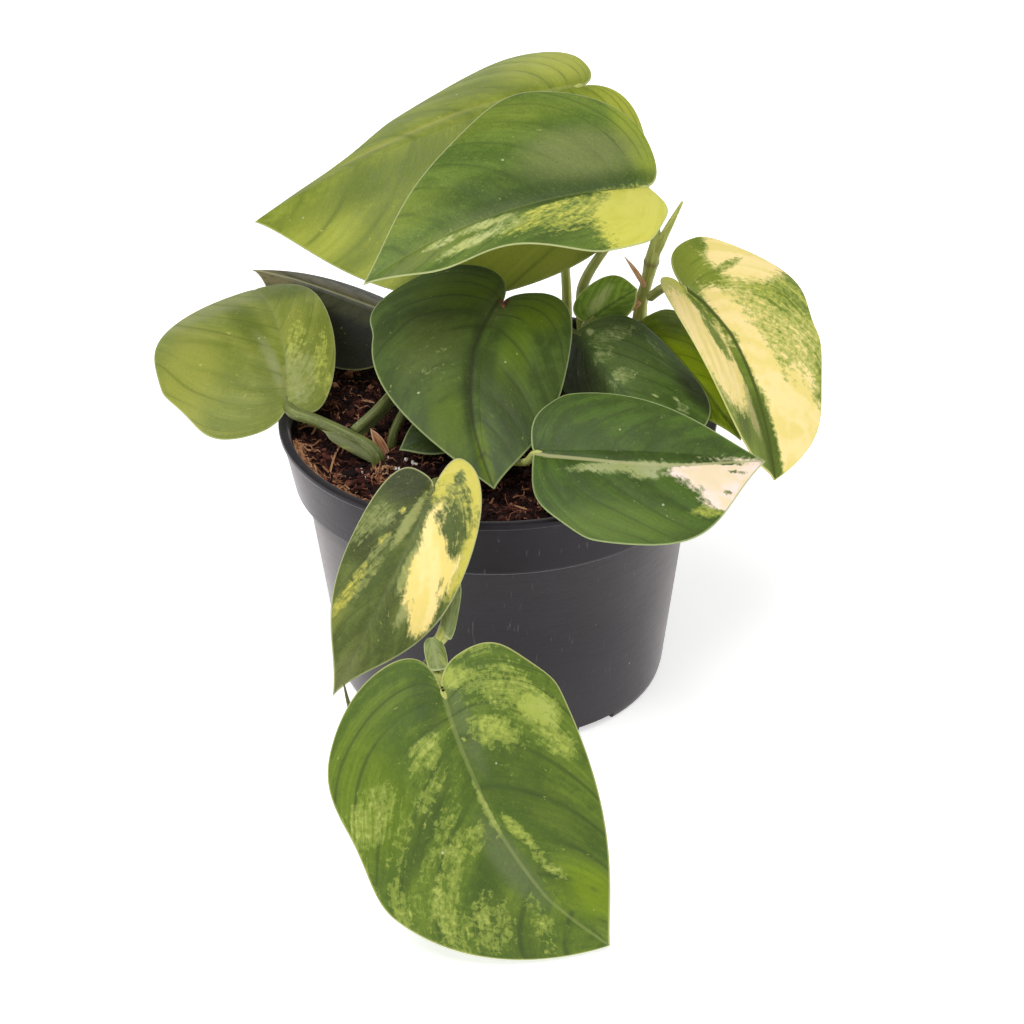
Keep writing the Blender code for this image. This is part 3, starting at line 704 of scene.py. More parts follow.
class Shader:
    """A material whose nodes are added and linked in one call each."""

    def __init__(self, name):
        self.material = bpy.data.materials.new(name)
        self.material.use_nodes = True
        self.tree = self.material.node_tree
        self.surface = self.tree.nodes["Principled BSDF"]

    def node(self, kind, output=0, **inputs):
        """Adds a node. An input is a number, a colour, or another node's socket, and its name
        may be the input's place, as in _0. Names without a matching input are properties."""
        made = self.tree.nodes.new(kind)
        for key, value in inputs.items():
            if hasattr(made, key):
                setattr(made, key, value)
        for key, value in inputs.items():
            if hasattr(made, key):
                continue
            slot = int(key[1:]) if key[0] == "_" else key.replace("_", " ")
            self.feed(made.inputs[slot], value)
        return made.outputs[output]

    def feed(self, socket, value):
        if isinstance(value, bpy.types.NodeSocket):
            self.tree.links.new(value, socket)
        else:
            socket.default_value = value

    def set(self, **inputs):
        for key, value in inputs.items():
            self.feed(self.surface.inputs[key.replace("_", " ")], value)

    def read(self, name, output=2):
        return self.node("ShaderNodeAttribute", output, attribute_name=name)

    def object_place(self):
        return self.node("ShaderNodeTexCoord", 3)

    def math(self, operation, a, b=0.0, c=0.0):
        return self.node("ShaderNodeMath", operation=operation, _0=a, _1=b, _2=c)

    def ramp(self, value, low, high, start=0.0, end=1.0):
        """Goes smoothly from start to end while value goes from low to high."""
        return self.node("ShaderNodeMapRange", interpolation_type="SMOOTHSTEP", Value=value,
                         _1=low, _2=high, _3=start, _4=end)

    def scaled(self, vector, factors, shift=(0, 0, 0)):
        return self.node("ShaderNodeMapping", Vector=vector, Scale=factors, Location=shift)

    def noise(self, vector, scale, detail=2.0, roughness=0.5, distortion=0.0):
        return self.node("ShaderNodeTexNoise", Vector=vector, Scale=scale, Detail=detail,
                         Roughness=roughness, Distortion=distortion)

    def mix(self, share, a, b, kind="MIX"):
        made = self.tree.nodes.new("ShaderNodeMix")
        made.data_type, made.blend_type = "RGBA", kind
        for socket, value in zip((made.inputs[0], made.inputs[6], made.inputs[7]), (share, a, b)):
            self.feed(socket, value)
        return made.outputs[2]

    def gradient(self, value, stops):
        """A colour that goes through the stops, each a place and a display colour."""
        out = self.node("ShaderNodeValToRGB", 0, Fac=value)
        ramp = out.node.color_ramp
        for place, _ in stops[1:-1]:
            ramp.elements.new(place)
        for element, (place, colour) in zip(ramp.elements, stops):
            element.position, element.color = place, linear(*colour)
        return out

    def bump(self, height, strength, distance):
        return self.node("ShaderNodeBump", Height=height, Strength=strength, Distance=distance)


LOOKS = {
    "leaf_top_rear": Look(
        (108, 121, 36), (132, 143, 48), glow=(166, 171, 64), deep=(79, 97, 23),
        pale=(162, 161, 76), rib=(155, 155, 87), rib_share=0.3,
        rib_way=((0, -1), (0.35, -5), (0.75, -4), (1, 0)), margin=(175, 178, 116),
        lime=(214, 218, 90), veins=0.45,
        patches=(
            ("pale", 55, -5, 24, 1.2, 0, 0.5), ("deep", 70, 7, 22, 5, 5, 0.5),
            ("glow", 86, 15, 12, 9, 0, 0.65), ("glow", 0, -16, 10, 12, 0, 0.9),
            # Painted light: the part of the lower half that lies under the front top leaf, lit
            # through it
            ("glow", 34, 44, 18, 9, 0, 0.7),
            ("glow", -9, 14, 8, 14, 0, 0.8), ("glow", 4, -18, 12, 12, 0, 0.6),
            ("glow", 76, 34, 10, 5, 0, 0.6),
        ),
    ),
    "leaf_top_front": Look(
        (78, 102, 34), (102, 124, 47), glow=(154, 165, 54), deep=(53, 72, 25),
        pale=(124, 131, 80), lime=(201, 197, 88), cream=(188, 192, 129),
        rib=(139, 145, 81), rib_share=0.15, margin=(176, 180, 125),
        patches=(
            # The first pale patch is painted sheen on the upper half, and the deep patches at 24
            # and 36 along are painted shade in the band above the midrib
            ("pale", 13, -14, 15, 9, 0, 0.75), ("glow", 30, -33, 24, 6, 0, 0.25),
            ("glow", -4, -16, 5, 18, 0, 0.7), ("deep", 24, -3, 28, 4.4, 0, 1.0),
            ("deep", 36, -8, 18, 5, -6, 0.7), ("glow", 63, -12, 14, 6, 0, 0.25),
            ("glow", 60, 4, 12, 6, 0, 0.25), ("deep", 10, -12, 10, 3, 20, 0.5),
            ("lime", 5, 21, 15.5, 22, -12, 1.3),
            ("green", 4, -6, 18, 5.4, 0, 1.0), ("lime", 22, 11, 13, 8, 18, 0.54),
            ("lime", 28, 5, 12, 2.4, 10, 0.62), ("lime", 36, 10, 9, 4.5, 10, 0.54),
            ("cream", 52, 9.5, 10, 2.4, 3, 0.72), ("cream", 46, 3.5, 9, 2.4, 0, 0.74),
            ("cream", 58, 3, 6, 2.4, 0, 0.68), ("cream", 41, 8, 7, 3, 10, 0.5),
            ("deep", 22, 2, 15, 1.8, 0, 0.9), ("deep", 30, 19, 10, 2.6, 5, 0.6),
            ("pale", 67, 5, 10, 4, 0, 0.4), ("pale", 46, 1, 13, 4, 0, 0.2),
        ),
    ),
    "leaf_left": Look(
        (114, 125, 46), (134, 141, 60), glow=(144, 148, 62), deep=(82, 96, 22),
        pale=(140, 143, 98), silver_and_sheen=(150, 155, 104), lime=(186, 190, 90), rib=(140, 141, 101),
        rib_share=0.15, margin=(177, 179, 126), veins=0.35,
        patches=(
            ("deep", 31, 8, 13, 3.6, 8, 0.8), ("deep", 7, 5.5, 9, 2.6, 10, 0.5),
            # The pale band beside the midrib is painted sheen
            ("pale", 13, 3.5, 11, 1.4, 14, 0.7), ("silver_and_sheen", 8, -4, 10, 5, 0, 0.5),
            ("glow", 25, -4, 9, 3, -20, 0.5), ("lime", 12, -10, 9, 2.2, -12, 0.5),
            ("lime", 3, -11.5, 5, 1.4, 0, 0.5), ("deep", 43, -6, 6, 9, 0, 1.0),
            ("lime", 20, -4, 10, 3, -10, 0.36), ("glow", 6, 30, 20, 7, 0, 1.0),
            ("pale", 43, 18, 5, 17, 0, 0.5), ("glow", 18, 26, 15, 8, 0, 0.9),
            ("deep", 24, 17, 13, 1.2, 50, 0.3), ("deep", 10, 15, 13, 1.0, 50, 0.3),
        ),
    ),
    # Painted shade: this leaf lies under the others, so its colours are dark and the deep patches
    # paint its near half nearly black
    "leaf_left_rear": Look(
        (44, 46, 19), (58, 60, 27), glow=(62, 62, 26), deep=(9, 10, 5), pale=(112, 104, 72),
        margin=(120, 122, 80), rib=(158, 156, 112), rib_share=0.7,
        rib_way=((0, -3.8), (0.3, -2.8), (0.7, -2), (1, 0)),
        patches=(
            ("deep", 15, 6.5, 45, 3, 0, 1.0), ("deep", 15, 14, 45, 10, 0, 1.0),
            ("pale", 20, -5.5, 26, 2.6, 0, 0.9), ("pale", 44, 0, 12, 3, 0, 0.9),
        ),
    ),
    "leaf_centre": Look(
        (58, 75, 27), (76, 96, 37), glow=(98, 118, 20), deep=(46, 56, 24),
        pale=(96, 106, 53), rib=(46, 50, 26), rib_share=0.6,
        rib_way=((0, -1.5), (0.3, -3), (0.7, -2), (1, 0)), margin=(145, 158, 103), veins=0.4,
        patches=(
            # The pale and silver patches near the base are painted sheen, and the long deep patch
            # along the midrib is painted shade in its groove
            ("pale", 17, -15, 13, 9, 0, 0.5), ("glow", 20, 8, 14, 4, 0, 0.6),
            ("silver_and_sheen", 22, -13, 8, 6, 20, 0.2),
            ("deep", 20, -3.2, 26, 1.5, 0, 0.9), ("deep", 37, 8, 13, 3.4, 0, 0.6),
            ("glow", -3, -13, 6, 11, 0, 0.5), ("glow", 4, 11, 7, 8, 0, 0.7),
            ("glow", 42, -9, 11, 5, 0, 0.6), ("glow", 52, -0.5, 10, 1.8, 0, 0.8),
            ("deep", 12, -28, 12, 3, 0, 0.3), ("pale", 2, -1, 7, 4, 0, 0.5),
        ),
    ),
    "leaf_centre_small": Look(
        (50, 65, 23), (68, 84, 32), deep=(39, 50, 17), margin=(143, 156, 103),
        patches=(("deep", 8, 3, 8, 4, 0, 0.4),),
    ),
    "leaf_right_front": Look(
        (57, 77, 24), (74, 99, 31), glow=(99, 121, 38), deep=(46, 62, 20),
        silver_and_sheen=(158, 164, 118), lime=(156, 162, 69), cream=(243, 220, 209),
        rib=(166, 166, 118), rib_share=0.8,
        rib_way=((0, -0.5), (0.06, -1.5), (0.17, -2.3), (0.33, -3.4), (0.5, -4), (0.68, -3.4),
                 (0.85, -1.6), (1, 0)),
        margin=(158, 171, 117), veins=0.35,
        patches=(
            ("silver_and_sheen", 24, -5, 15, 1.9, 3, 1.0), ("silver_and_sheen", 29, -7.2, 5, 1.8, 0, 0.8),
            ("cream", 49, -6, 11, 5, 5, 1.3), ("cream", 50, -12, 7, 5, 0, 1.2),
            ("cream", 40, -5.5, 6, 2, 10, 1.0), ("cream", 56, -4, 6, 4, 0, 1.2),
            ("green", 47, -2, 9, 0.9, 0, 0.75), ("green", 53, -4.8, 3, 0.7, 0, 0.7),
            ("green", 50, -11.5, 1.5, 0.7, 0, 0.6), ("lime", 46, -17, 6, 2, 10, 0.8),
            ("deep", 30, -1.2, 30, 1.6, 0, 0.6), ("glow", 20, -22, 18, 5, 0, 0.6),
            ("deep", 4, 1, 5, 3, 0, 0.5),
        ),
    ),
    "leaf_right_cream": Look(
        (103, 121, 41), (125, 143, 56), glow=(146, 156, 54), deep=(75, 90, 31),
        silver_and_sheen=(164, 158, 108), lime=(200, 198, 96), cream=(240, 218, 152), rib=(69, 82, 26),
        rib_share=0.95,
        rib_way=((0, 0), (0.1, 1.5), (0.3, 2.8), (0.5, 2.2), (0.75, 1), (1, 0)),
        margin=(211, 204, 132),
        patches=(
            ("cream", -4, 23, 10, 12, 0, 1.3), ("green", -6, 5, 9, 6, 10, 0.85),
            ("glow", -6, 6, 9, 7, 0, 0.6),
            ("green", -11, 14, 2.5, 4, 60, 0.7), ("green", -2, 17, 1.4, 6, 12, 0.7),
            ("cream", 14, 13, 13, 7, 20, 0.56), ("cream", 24, 17, 16, 12, 10, 0.5),
            ("lime", 18, 27, 20, 6, 6, 0.62), ("lime", 20, 16, 24, 12, 6, 0.66),
            ("cream", 12, 6, 13, 3.8, 3, 1.1), ("cream", 28, 7, 17, 4.4, 0, 1.1),
            ("cream", 50, 10, 15, 9, 0, 1.4), ("cream", 38, 14, 8, 7, 0, 0.8),
            ("green", 14, 27, 8, 2.6, 20, 0.5), ("green", 13, 20, 6, 1.5, 30, 0.4),
            ("cream", 20, -7.5, 18, 8, 0, 1.3), ("lime", 0, -7, 14, 7, 0, 1.3),
            ("green", 8, -1.6, 6, 1.6, 6, 0.9), ("green", 18, -3.4, 8, 2.4, 0, 0.85),
            ("green", 30, 0.6, 9, 1.4, 0, 0.9), ("silver_and_sheen", 31, -5.6, 9, 5, -4, 1.3),
            ("silver_and_sheen", 41, -4, 8, 2, 0, 1.0), ("deep", 41, -9, 7, 2.4, 0, 0.9),
            ("deep", 48, 0.5, 14, 3.4, 0, 0.9), ("green", 49, 0.5, 16, 2.6, 0, 1.0),
            ("green", 55, -8, 12, 5, 0, 0.9),
        ),
    ),
    "leaf_right_dark": Look(
        (66, 88, 32), (84, 108, 43), glow=(104, 120, 70), deep=(34, 41, 14),
        silver_and_sheen=(166, 172, 122), margin=(143, 158, 99), veins=0.3,
        patches=(
            # The silver spots are painted highlights and sheen, and the deep patches are painted
            # shade, on the half that slopes down and at the outer margin
            ("silver_and_sheen", 2.5, 3, 1.4, 1.2, 0, 0.9), ("silver_and_sheen", 6.5, 9, 3.2, 8, 0, 0.5),
            ("silver_and_sheen", 12, 2.4, 3, 3.6, 0, 0.5), ("silver_and_sheen", 21, 3, 3.2, 4.6, 0, 0.52),
            ("silver_and_sheen", 38, 10, 2.4, 2, 0, 0.46), ("silver_and_sheen", 31, 6, 0.7, 0.7, 0, 0.9),
            ("silver_and_sheen", 34.5, 10.5, 0.8, 0.8, 0, 0.9), ("silver_and_sheen", 15, 18, 6, 1, 0, 0.42),
            ("glow", 12, 4, 16, 9, 0, 0.5), ("deep", 9, -6.5, 16, 6.5, 0, 1.0),
            ("deep", 35, 19, 10, 4.4, 0, 1.0),
        ),
    ),
    "leaf_right_rear": Look(
        (106, 124, 24), (146, 166, 30), glow=(172, 192, 26), deep=(78, 94, 20),
        margin=(149, 162, 73),
        patches=(
            # The deep patches are painted shade over the upper part and near the base, and the
            # glow patch is painted light on the lower part
            ("deep", 18, -5, 17, 4, 0, 0.8), ("glow", 27, 3, 19, 4, 6, 0.9),
            ("deep", 5, 4, 7, 4, 0, 0.7),
        ),
    ),
    # Painted light: this small leaf's colours are lightened against the shade it lies in, and its
    # pale patch is a painted highlight by the midrib
    "leaf_right_small": Look(
        (128, 158, 58), (166, 196, 82), pale=(225, 232, 159), margin=(217, 222, 142),
        patches=(("pale", 6, 3, 5, 1.6, 20, 0.6), ("deep", 8, -3, 7, 2, 0, 0.5)),
    ),
    "leaf_hanging_cream": Look(
        (78, 91, 41), (100, 112, 53), glow=(132, 136, 57), deep=(46, 53, 22),
        pale=(132, 136, 84), silver_and_sheen=(144, 148, 92), lime=(198, 188, 88), cream=(239, 214, 143),
        rib=(104, 107, 76), rib_share=0.25, margin=(176, 177, 126), veins=0.2,
        patches=(
            ("lime", -3, 7, 9, 7, 0, 1.3), ("lime", 10, 13.4, 14, 2.6, 8, 1.0),
            ("cream", 8, 4.6, 7, 3, 0, 1.1), ("cream", 18, 8.4, 12, 5.4, 0, 1.3),
            ("cream", 28, 10.4, 8, 3.2, 8, 1.2), ("green", 3, 8, 9, 5, 20, 0.66),
            ("green", 4, 7.5, 4, 2.6, 20, 0.8),
            ("green", 7, 9.2, 5, 3.6, 30, 0.9), ("green", -2, 8, 2.6, 1.5, 0, 0.7),
            ("green", -4.6, 5.4, 3, 1.6, 0, 0.75), ("green", -1, 5, 3, 1.6, 30, 0.65),
            ("green", 6, 4.4, 2.4, 1.1, 0, 0.7),
            ("green", 12, 11, 2.8, 2, 30, 0.8), ("green", 20, 11.5, 5, 0.6, 4, 0.5),
            ("silver_and_sheen", 21, 3, 7, 1.7, 0, 1.0), ("silver_and_sheen", 29, 6.4, 7, 1.5, 0, 1.0),
            ("silver_and_sheen", 10.5, -2.2, 8.5, 1.3, -8, 0.9), ("silver_and_sheen", 12, -9, 3.4, 4, -20, 0.5),
            ("silver_and_sheen", 16, -12, 6, 2.4, -10, 0.48), ("silver_and_sheen", 20, -6.4, 6, 1.2, -14, 0.6),
            ("lime", 17, -6.4, 3, 0.8, -20, 0.55), ("lime", 8.5, -4.6, 1.2, 0.8, 0, 0.8),
            ("silver_and_sheen", 28, -6, 9, 1.6, -10, 0.5), ("deep", 21, -10, 5, 3, -10, 0.8),
            ("deep", 0, -7, 8, 8, 0, 1.0), ("deep", 14, -5.4, 7, 1.6, -10, 0.6),
            ("lime", 27, -8, 4, 1.2, -20, 0.5), ("lime", 34, -8.6, 8, 1.6, -10, 0.56),
            ("pale", 52, 0, 6, 3, 0, 0.5), ("deep", 27, 3, 7, 1.8, 0, 0.5),
            ("glow", 40, -9, 6, 2, 0, 0.5),
        ),
    ),
    "leaf_hanging_green": Look(
        (76, 98, 32), (102, 122, 40), glow=(120, 142, 12), deep=(56, 74, 30),
        pale=(96, 108, 68), silver_and_sheen=(150, 160, 88), lime=(160, 170, 84), rib=(150, 158, 96),
        rib_share=0.3,
        rib_way=((0, 0), (0.3, -0.6), (0.45, -1.5), (0.75, -2.2), (1, 0)),
        margin=(176, 179, 112), veins=0.6,
        patches=(
            ("lime", -1.5, 3.5, 5, 3, 60, 0.7), ("lime", -6, 13, 9, 4, 75, 0.56),
            ("lime", 7, 15, 7, 6, 45, 0.5), ("lime", 2, 8, 6, 4, 60, 0.46),
            ("lime", 17, 21.5, 7, 3.8, 35, 0.9), ("lime", 26, 22.5, 7, 3.5, 20, 0.6),
            ("lime", 15, 9, 8, 4, 45, 0.6), ("lime", 10, 20, 5, 3, 40, 0.52),
            ("lime", 10, -9, 6, 4, -50, 0.54), ("lime", 16, -28, 9, 6, -60, 0.52),
            ("lime", 21, -13, 7, 3, -45, 0.44), ("lime", 36, -15, 9, 4, -45, 0.46),
            ("lime", 35, -8, 5, 3, -45, 0.42), ("lime", 46, -25, 9, 1.6, -20, 0.7),
            ("lime", 38, -32, 8, 2.4, -15, 0.5), ("lime", 55, -18, 9, 6, -30, 0.44),
            ("lime", 62, -8, 9, 3, -20, 0.4), ("lime", 40, 2.5, 7, 1.6, 10, 0.62),
            ("lime", 50, 3.5, 7, 1.6, 15, 0.44), ("pale", 10, 2.5, 12, 2.4, 0, 0.7),
            ("pale", 45, -3.8, 13, 3.4, 0, 0.9), ("deep", 48, 14, 12, 6, 20, 0.4),
            ("silver_and_sheen", 30, -1.4, 8, 0.7, 0, 0.8), ("deep", 0, -5, 7, 4, 0, 0.7),
            ("deep", 27, -18, 14, 2.4, -54, 0.8), ("green", 28, -20, 12, 2.4, -54, 0.6),
            ("deep", 28, 8, 14, 8, 20, 0.5),
            ("deep", 50, -14, 12, 4, -30, 0.6), ("deep", 62, -14, 8, 4, 0, 0.5),
            ("lime", 30, -20, 22, 10, -40, 0.3), ("lime", 12, 14, 16, 11, 40, 0.32),
            ("lime", 50, -24, 16, 6, -20, 0.38), ("deep", 50, 3, 12, 2, 0, 0.5),
            ("lime", 24, -36, 12, 3, -10, 0.4),
            ("glow", 62, 7, 9, 6, 0, 0.7), ("glow", 12, -26, 15, 9, 0, 0.3),
        ),
    ),
}

# The pale patch along the middle of a sheath is a painted highlight on its lit ridge
SHEATH_LOOK = Look(
    (112, 126, 66), (142, 154, 88), glow=(152, 162, 92), deep=(92, 106, 54), lime=(182, 186, 108),
    margin=(188, 194, 140), rib=(164, 172, 112), rib_share=0.3, veins=0.1,
    patches=(("pale", 8, 0, 10, 1.2, 0, 0.4), ("lime", 9, 1.6, 3, 1, 20, 0.5)),
)

# The shaded sheaths keep the patches of the others in their meshes, in these darker colours, which
# are painted shade
SHADED_SHEATH_LOOK = replace(
    SHEATH_LOOK, shade=(72, 76, 36), body=(98, 104, 54), glow=(108, 114, 62), deep=(60, 62, 32),
    margin=(138, 142, 92), rib=(112, 116, 66), under=(80, 84, 46),
)

# Noise scales along each axis of the veins and of the flat blade
STREAKS = (64, 5, 9)
FINE_STREAKS = (300, 9, 9)
BANDS = (12, 2, 5)
FLECKS = (0.42, 0.42, 1)
FRAY = (0.7, 0.7, 1)
GRAIN = (1.5, 1.5, 1)
SPECK_SCALE = 0.13
SPECK_COLOUR = (196, 200, 168)
STEM_FLECK_COLOUR = (190, 196, 150)
SCALE_VEIN_COLOUR = (108, 62, 40)
SCALE_EDGE_COLOUR = (224, 184, 150)
# Light that goes a little way into leaves and stems
SOFT_LIGHT = {
    "Subsurface_Weight": 0.1, "Subsurface_Radius": (0.6, 1.0, 0.2), "Subsurface_Scale": 0.001,
}
# Dark lines over the side veins, as their number, width and strength
VEIN_LINES = ((VEINS, 0.1, 1.0), (VEINS, 0.3, 0.6), (4 * VEINS, 0.4, 0.3))


def leaf_material(name, look, seed):
    """The skin of one leaf: soft bands of green, ragged patches that follow the side veins, thin
    veins, a pale margin and a paler underside. Some patches are painted sheen, highlights, shade
    and light."""
    shader = Shader(name)
    flat, vein = shader.read("flat", 1), shader.read("vein", 1)
    shift = (17.3 * seed, 5.1 * seed, 3.7 * seed)
    streaks = shader.noise(shader.scaled(vein, STREAKS, shift), 1.0, 4.0, 0.65)
    fine = shader.noise(shader.scaled(vein, FINE_STREAKS, shift), 1.0, 2.0, 0.5)
    bands = shader.noise(shader.scaled(vein, BANDS, shift), 1.0, 2.0, 0.5)
    flecks = shader.noise(shader.scaled(flat, FLECKS, shift), 1.0, 4.0, 0.6, 0.4)
    fray = shader.noise(shader.scaled(flat, FRAY, shift), 1.0, 5.0, 0.6, 0.6)
    ragged = shader.math("ADD", shader.math("MULTIPLY_ADD", streaks, 1.05, -0.525),
                         shader.math("MULTIPLY_ADD", fray, 1.3, -0.65))

    tone = shader.math("ADD", bands, shader.math("MULTIPLY_ADD", flecks, 0.5, -0.25))
    colour = shader.mix(shader.ramp(tone, 0.34, 0.66), linear(*look.shade), linear(*look.body))
    colour = shader.mix(shader.ramp(fine, 0.4, 0.7, 0.0, 0.25), colour, linear(*look.deep))
    # Soft patches: pale is painted sheen, and some deep and glow patches are painted shade and
    # painted light
    for kind in ("glow", "deep", "pale"):
        grained = shader.math("MULTIPLY", shader.read(kind), shader.ramp(fine, 0.3, 0.7, 0.8, 1.0))
        colour = shader.mix(grained, colour, linear(*getattr(look, kind)))

    grain = shader.noise(shader.scaled(flat, GRAIN, shift), 1.0, 4.0, 0.7)
    colour = shader.mix(shader.ramp(grain, 0.5, 0.75, 0.0, 0.35), colour, linear(*look.deep))
    colour = shader.mix(shader.ramp(grain, 0.25, 0.47, 0.3, 0.0), colour, linear(*look.glow))

    separated = shader.node("ShaderNodeSeparateXYZ", 0, Vector=vein)
    for count, width, strength in VEIN_LINES:
        wave = shader.math("PINGPONG", shader.math("MULTIPLY", separated, count), 0.5)
        strength = shader.math("MULTIPLY", shader.ramp(bands, 0.35, 0.6), strength * look.veins)
        colour = shader.mix(shader.ramp(wave, 0.0, width, strength, 0.0), colour,
                            linear(*look.deep))

    # Ragged patches: the silver ones are partly silvery marks and partly painted sheen
    for kind in ("silver_and_sheen", "lime", "cream"):
        field = shader.math("ADD", shader.read(kind), ragged)
        main = getattr(look, kind)
        between = tuple((a + b) / 2 for a, b in zip(main, look.body))
        deeper = tuple(a * b for a, b in zip(main, (0.95, 0.96, 0.84)))
        own = shader.mix(shader.ramp(tone, 0.36, 0.64), linear(*deeper), linear(*main))
        colour = shader.mix(shader.ramp(field, 0.26, 0.5, 0.0, 0.7), colour, linear(*between))
        colour = shader.mix(shader.ramp(field, 0.46, 0.84), colour, own)

    rib = shader.math("ABSOLUTE", shader.read("rib"))
    slim = shader.math("MULTIPLY_ADD", shader.read("along"), 0.7, 1.0)
    rib_line = shader.ramp(shader.math("MULTIPLY", rib, slim), 0.3, 0.9, look.rib_share, 0.0)
    colour = shader.mix(rib_line, colour, linear(*look.rib))
    cells = shader.node("ShaderNodeTexVoronoi", 0, Vector=flat, Scale=SPECK_SCALE)
    chosen = shader.ramp(cells.node.outputs["Color"], 0.62, 0.64)
    speck = shader.math("MULTIPLY", shader.ramp(cells, 0.03, 0.055, 0.6, 0.0), chosen)
    colour = shader.mix(speck, colour, linear(*SPECK_COLOUR))
    edge_line = shader.ramp(shader.read("margin"), 0.15, 0.6, 0.85, 0.0)
    colour = shader.mix(edge_line, colour, linear(*look.margin))
    below = shader.ramp(shader.read("under"), 0.55, 0.8, 0.0, 0.6)
    colour = shader.mix(below, colour, linear(*look.under))

    height = shader.math("ADD", fine, shader.math("MULTIPLY", flecks, 0.5))
    shader.set(Base_Color=colour, Roughness=shader.ramp(flecks, 0.3, 0.7, 0.36, 0.48),
               Specular_IOR_Level=0.2, Normal=shader.bump(height, 0.25, 0.0002), **SOFT_LIGHT)
    return shader.material


def stem_material(name, low, high, ring_colour):
    """Green bark with fine lines along it, light flecks, and brown rings at the nodes."""
    shader = Shader(name)
    way = shader.read("way", 1)
    lines = shader.noise(shader.scaled(way, (0.12, 1.6, 1.6)), 1.0, 3.0, 0.6)
    cloud = shader.noise(shader.scaled(way, (0.2, 0.3, 0.3)), 1.0, 2.0, 0.5)
    flecks = shader.noise(shader.scaled(way, (1.2, 2.4, 2.4)), 1.0, 2.0, 0.5)
    colour = shader.mix(shader.ramp(lines, 0.36, 0.64), linear(*low), linear(*high))
    colour = shader.mix(shader.ramp(cloud, 0.35, 0.65, 0.0, 0.4), colour, linear(*low))
    colour = shader.mix(shader.ramp(flecks, 0.64, 0.7, 0.0, 0.5), colour,
                        linear(*STEM_FLECK_COLOUR))
    colour = shader.mix(shader.math("MULTIPLY", shader.read("ring"), 0.7), colour,
                        linear(*ring_colour))
    shader.set(Base_Color=colour, Roughness=shader.ramp(lines, 0.3, 0.7, 0.4, 0.55),
               Specular_IOR_Level=0.3, Normal=shader.bump(lines, 0.5, 0.0003), **SOFT_LIGHT)
    return shader.material


# Bark colours: the dark and the light lines, and the rings. Petioles come as a darker copy,
# painted shade, and a lighter copy, painted light
SHADED_PETIOLE_COLOURS = ((86, 94, 46), (122, 130, 70), (110, 106, 66))
LIT_PETIOLE_COLOURS = ((154, 160, 78), (200, 202, 122), (110, 106, 66))
SHOOT_COLOURS = ((158, 164, 78), (204, 206, 122), (112, 98, 64))
ROOT_COLOURS = ((78, 78, 42), (112, 108, 62), (60, 44, 30))
# Leaves whose petioles get the lighter bark, painted light; the others get the darker bark,
# painted shade
LIT_PETIOLES = (
    "leaf_top_rear", "leaf_top_front", "leaf_right_front", "leaf_right_cream",
    "leaf_right_small", "leaf_hanging_green",
)


def add_leaves():
    # Petiole bark in a darker copy, painted shade, and a lighter copy, painted light
    shaded = stem_material("petiole", *SHADED_PETIOLE_COLOURS)
    pale = stem_material("lit_petiole", *LIT_PETIOLE_COLOURS)
    for seed, (name, leaf) in enumerate(LEAVES.items()):
        look = LOOKS[name]
        mesh = blade_mesh(name + "_blade", leaf.blade, look, BLADE_ROWS, HALF_COLUMNS,
                          BLADE_THICKNESS)
        place_piece(mesh, leaf.slot, leaf_material(name + "_skin", look, seed), name)
        low, high = leaf.radius
        radii = (low, low, (low + high) / 2, high, high, PETIOLE_END_RADIUS)
        mesh = tube_mesh(name + "_petiole", petiole_way(leaf), radii)
        place_piece(mesh, leaf.slot, pale if name in LIT_PETIOLES else shaded, name)


def add_shoots():
    bark = stem_material("shoot", *SHOOT_COLOURS)
    for name, way, radii, rings, node in (
        ("right_shoot", rooted(RIGHT_SHOOT), RIGHT_SHOOT_RADII, RIGHT_SHOOT_RINGS, "stem_right"),
        ("rolled_leaf", ROLLED_LEAF, ROLLED_LEAF_RADII, (), "stem_right"),
        ("front_vine", rooted(FRONT_VINE), FRONT_VINE_RADII, FRONT_VINE_RINGS, "stem_front"),
    ):
        place_piece(tube_mesh(name, way, radii, rings), "stem", bark, node)
    skin = leaf_material("sheath_skin", SHEATH_LOOK, len(LEAVES))
    shaded = leaf_material("shaded_sheath_skin", SHADED_SHEATH_LOOK, len(LEAVES))
    for name, blade in SHEATHS.items():
        mesh = blade_mesh(name, blade, SHEATH_LOOK, SHEATH_ROWS, SHEATH_COLUMNS,
                          SHEATH_THICKNESS, SHEATH_RELIEF)
        place_piece(mesh, "stem", shaded if name in SHADED_SHEATHS else skin)


def scale_material(name, low, high):
    """Dry, papery skin with darker veins and paler edges."""
    shader = Shader(name)
    flat, vein = shader.read("flat", 1), shader.read("vein", 1)
    tone = shader.noise(shader.scaled(flat, (0.3, 2.2, 1)), 1.0, 3.0, 0.6)
    fibres = shader.noise(shader.scaled(vein, (4, 26, 5)), 1.0, 2.0, 0.5)
    colour = shader.mix(shader.ramp(tone, 0.35, 0.65), linear(*low), linear(*high))
    colour = shader.mix(shader.ramp(fibres, 0.45, 0.65, 0.0, 0.45), colour,
                        linear(*SCALE_VEIN_COLOUR))
    colour = shader.mix(shader.ramp(shader.read("margin"), 0.1, 0.7, 0.6, 0.0), colour,
                        linear(*SCALE_EDGE_COLOUR))
    shader.set(Base_Color=colour, Roughness=shader.ramp(tone, 0.3, 0.7, 0.65, 0.85),
               Specular_IOR_Level=0.25, Normal=shader.bump(fibres, 0.6, 0.0003))
    return shader.material


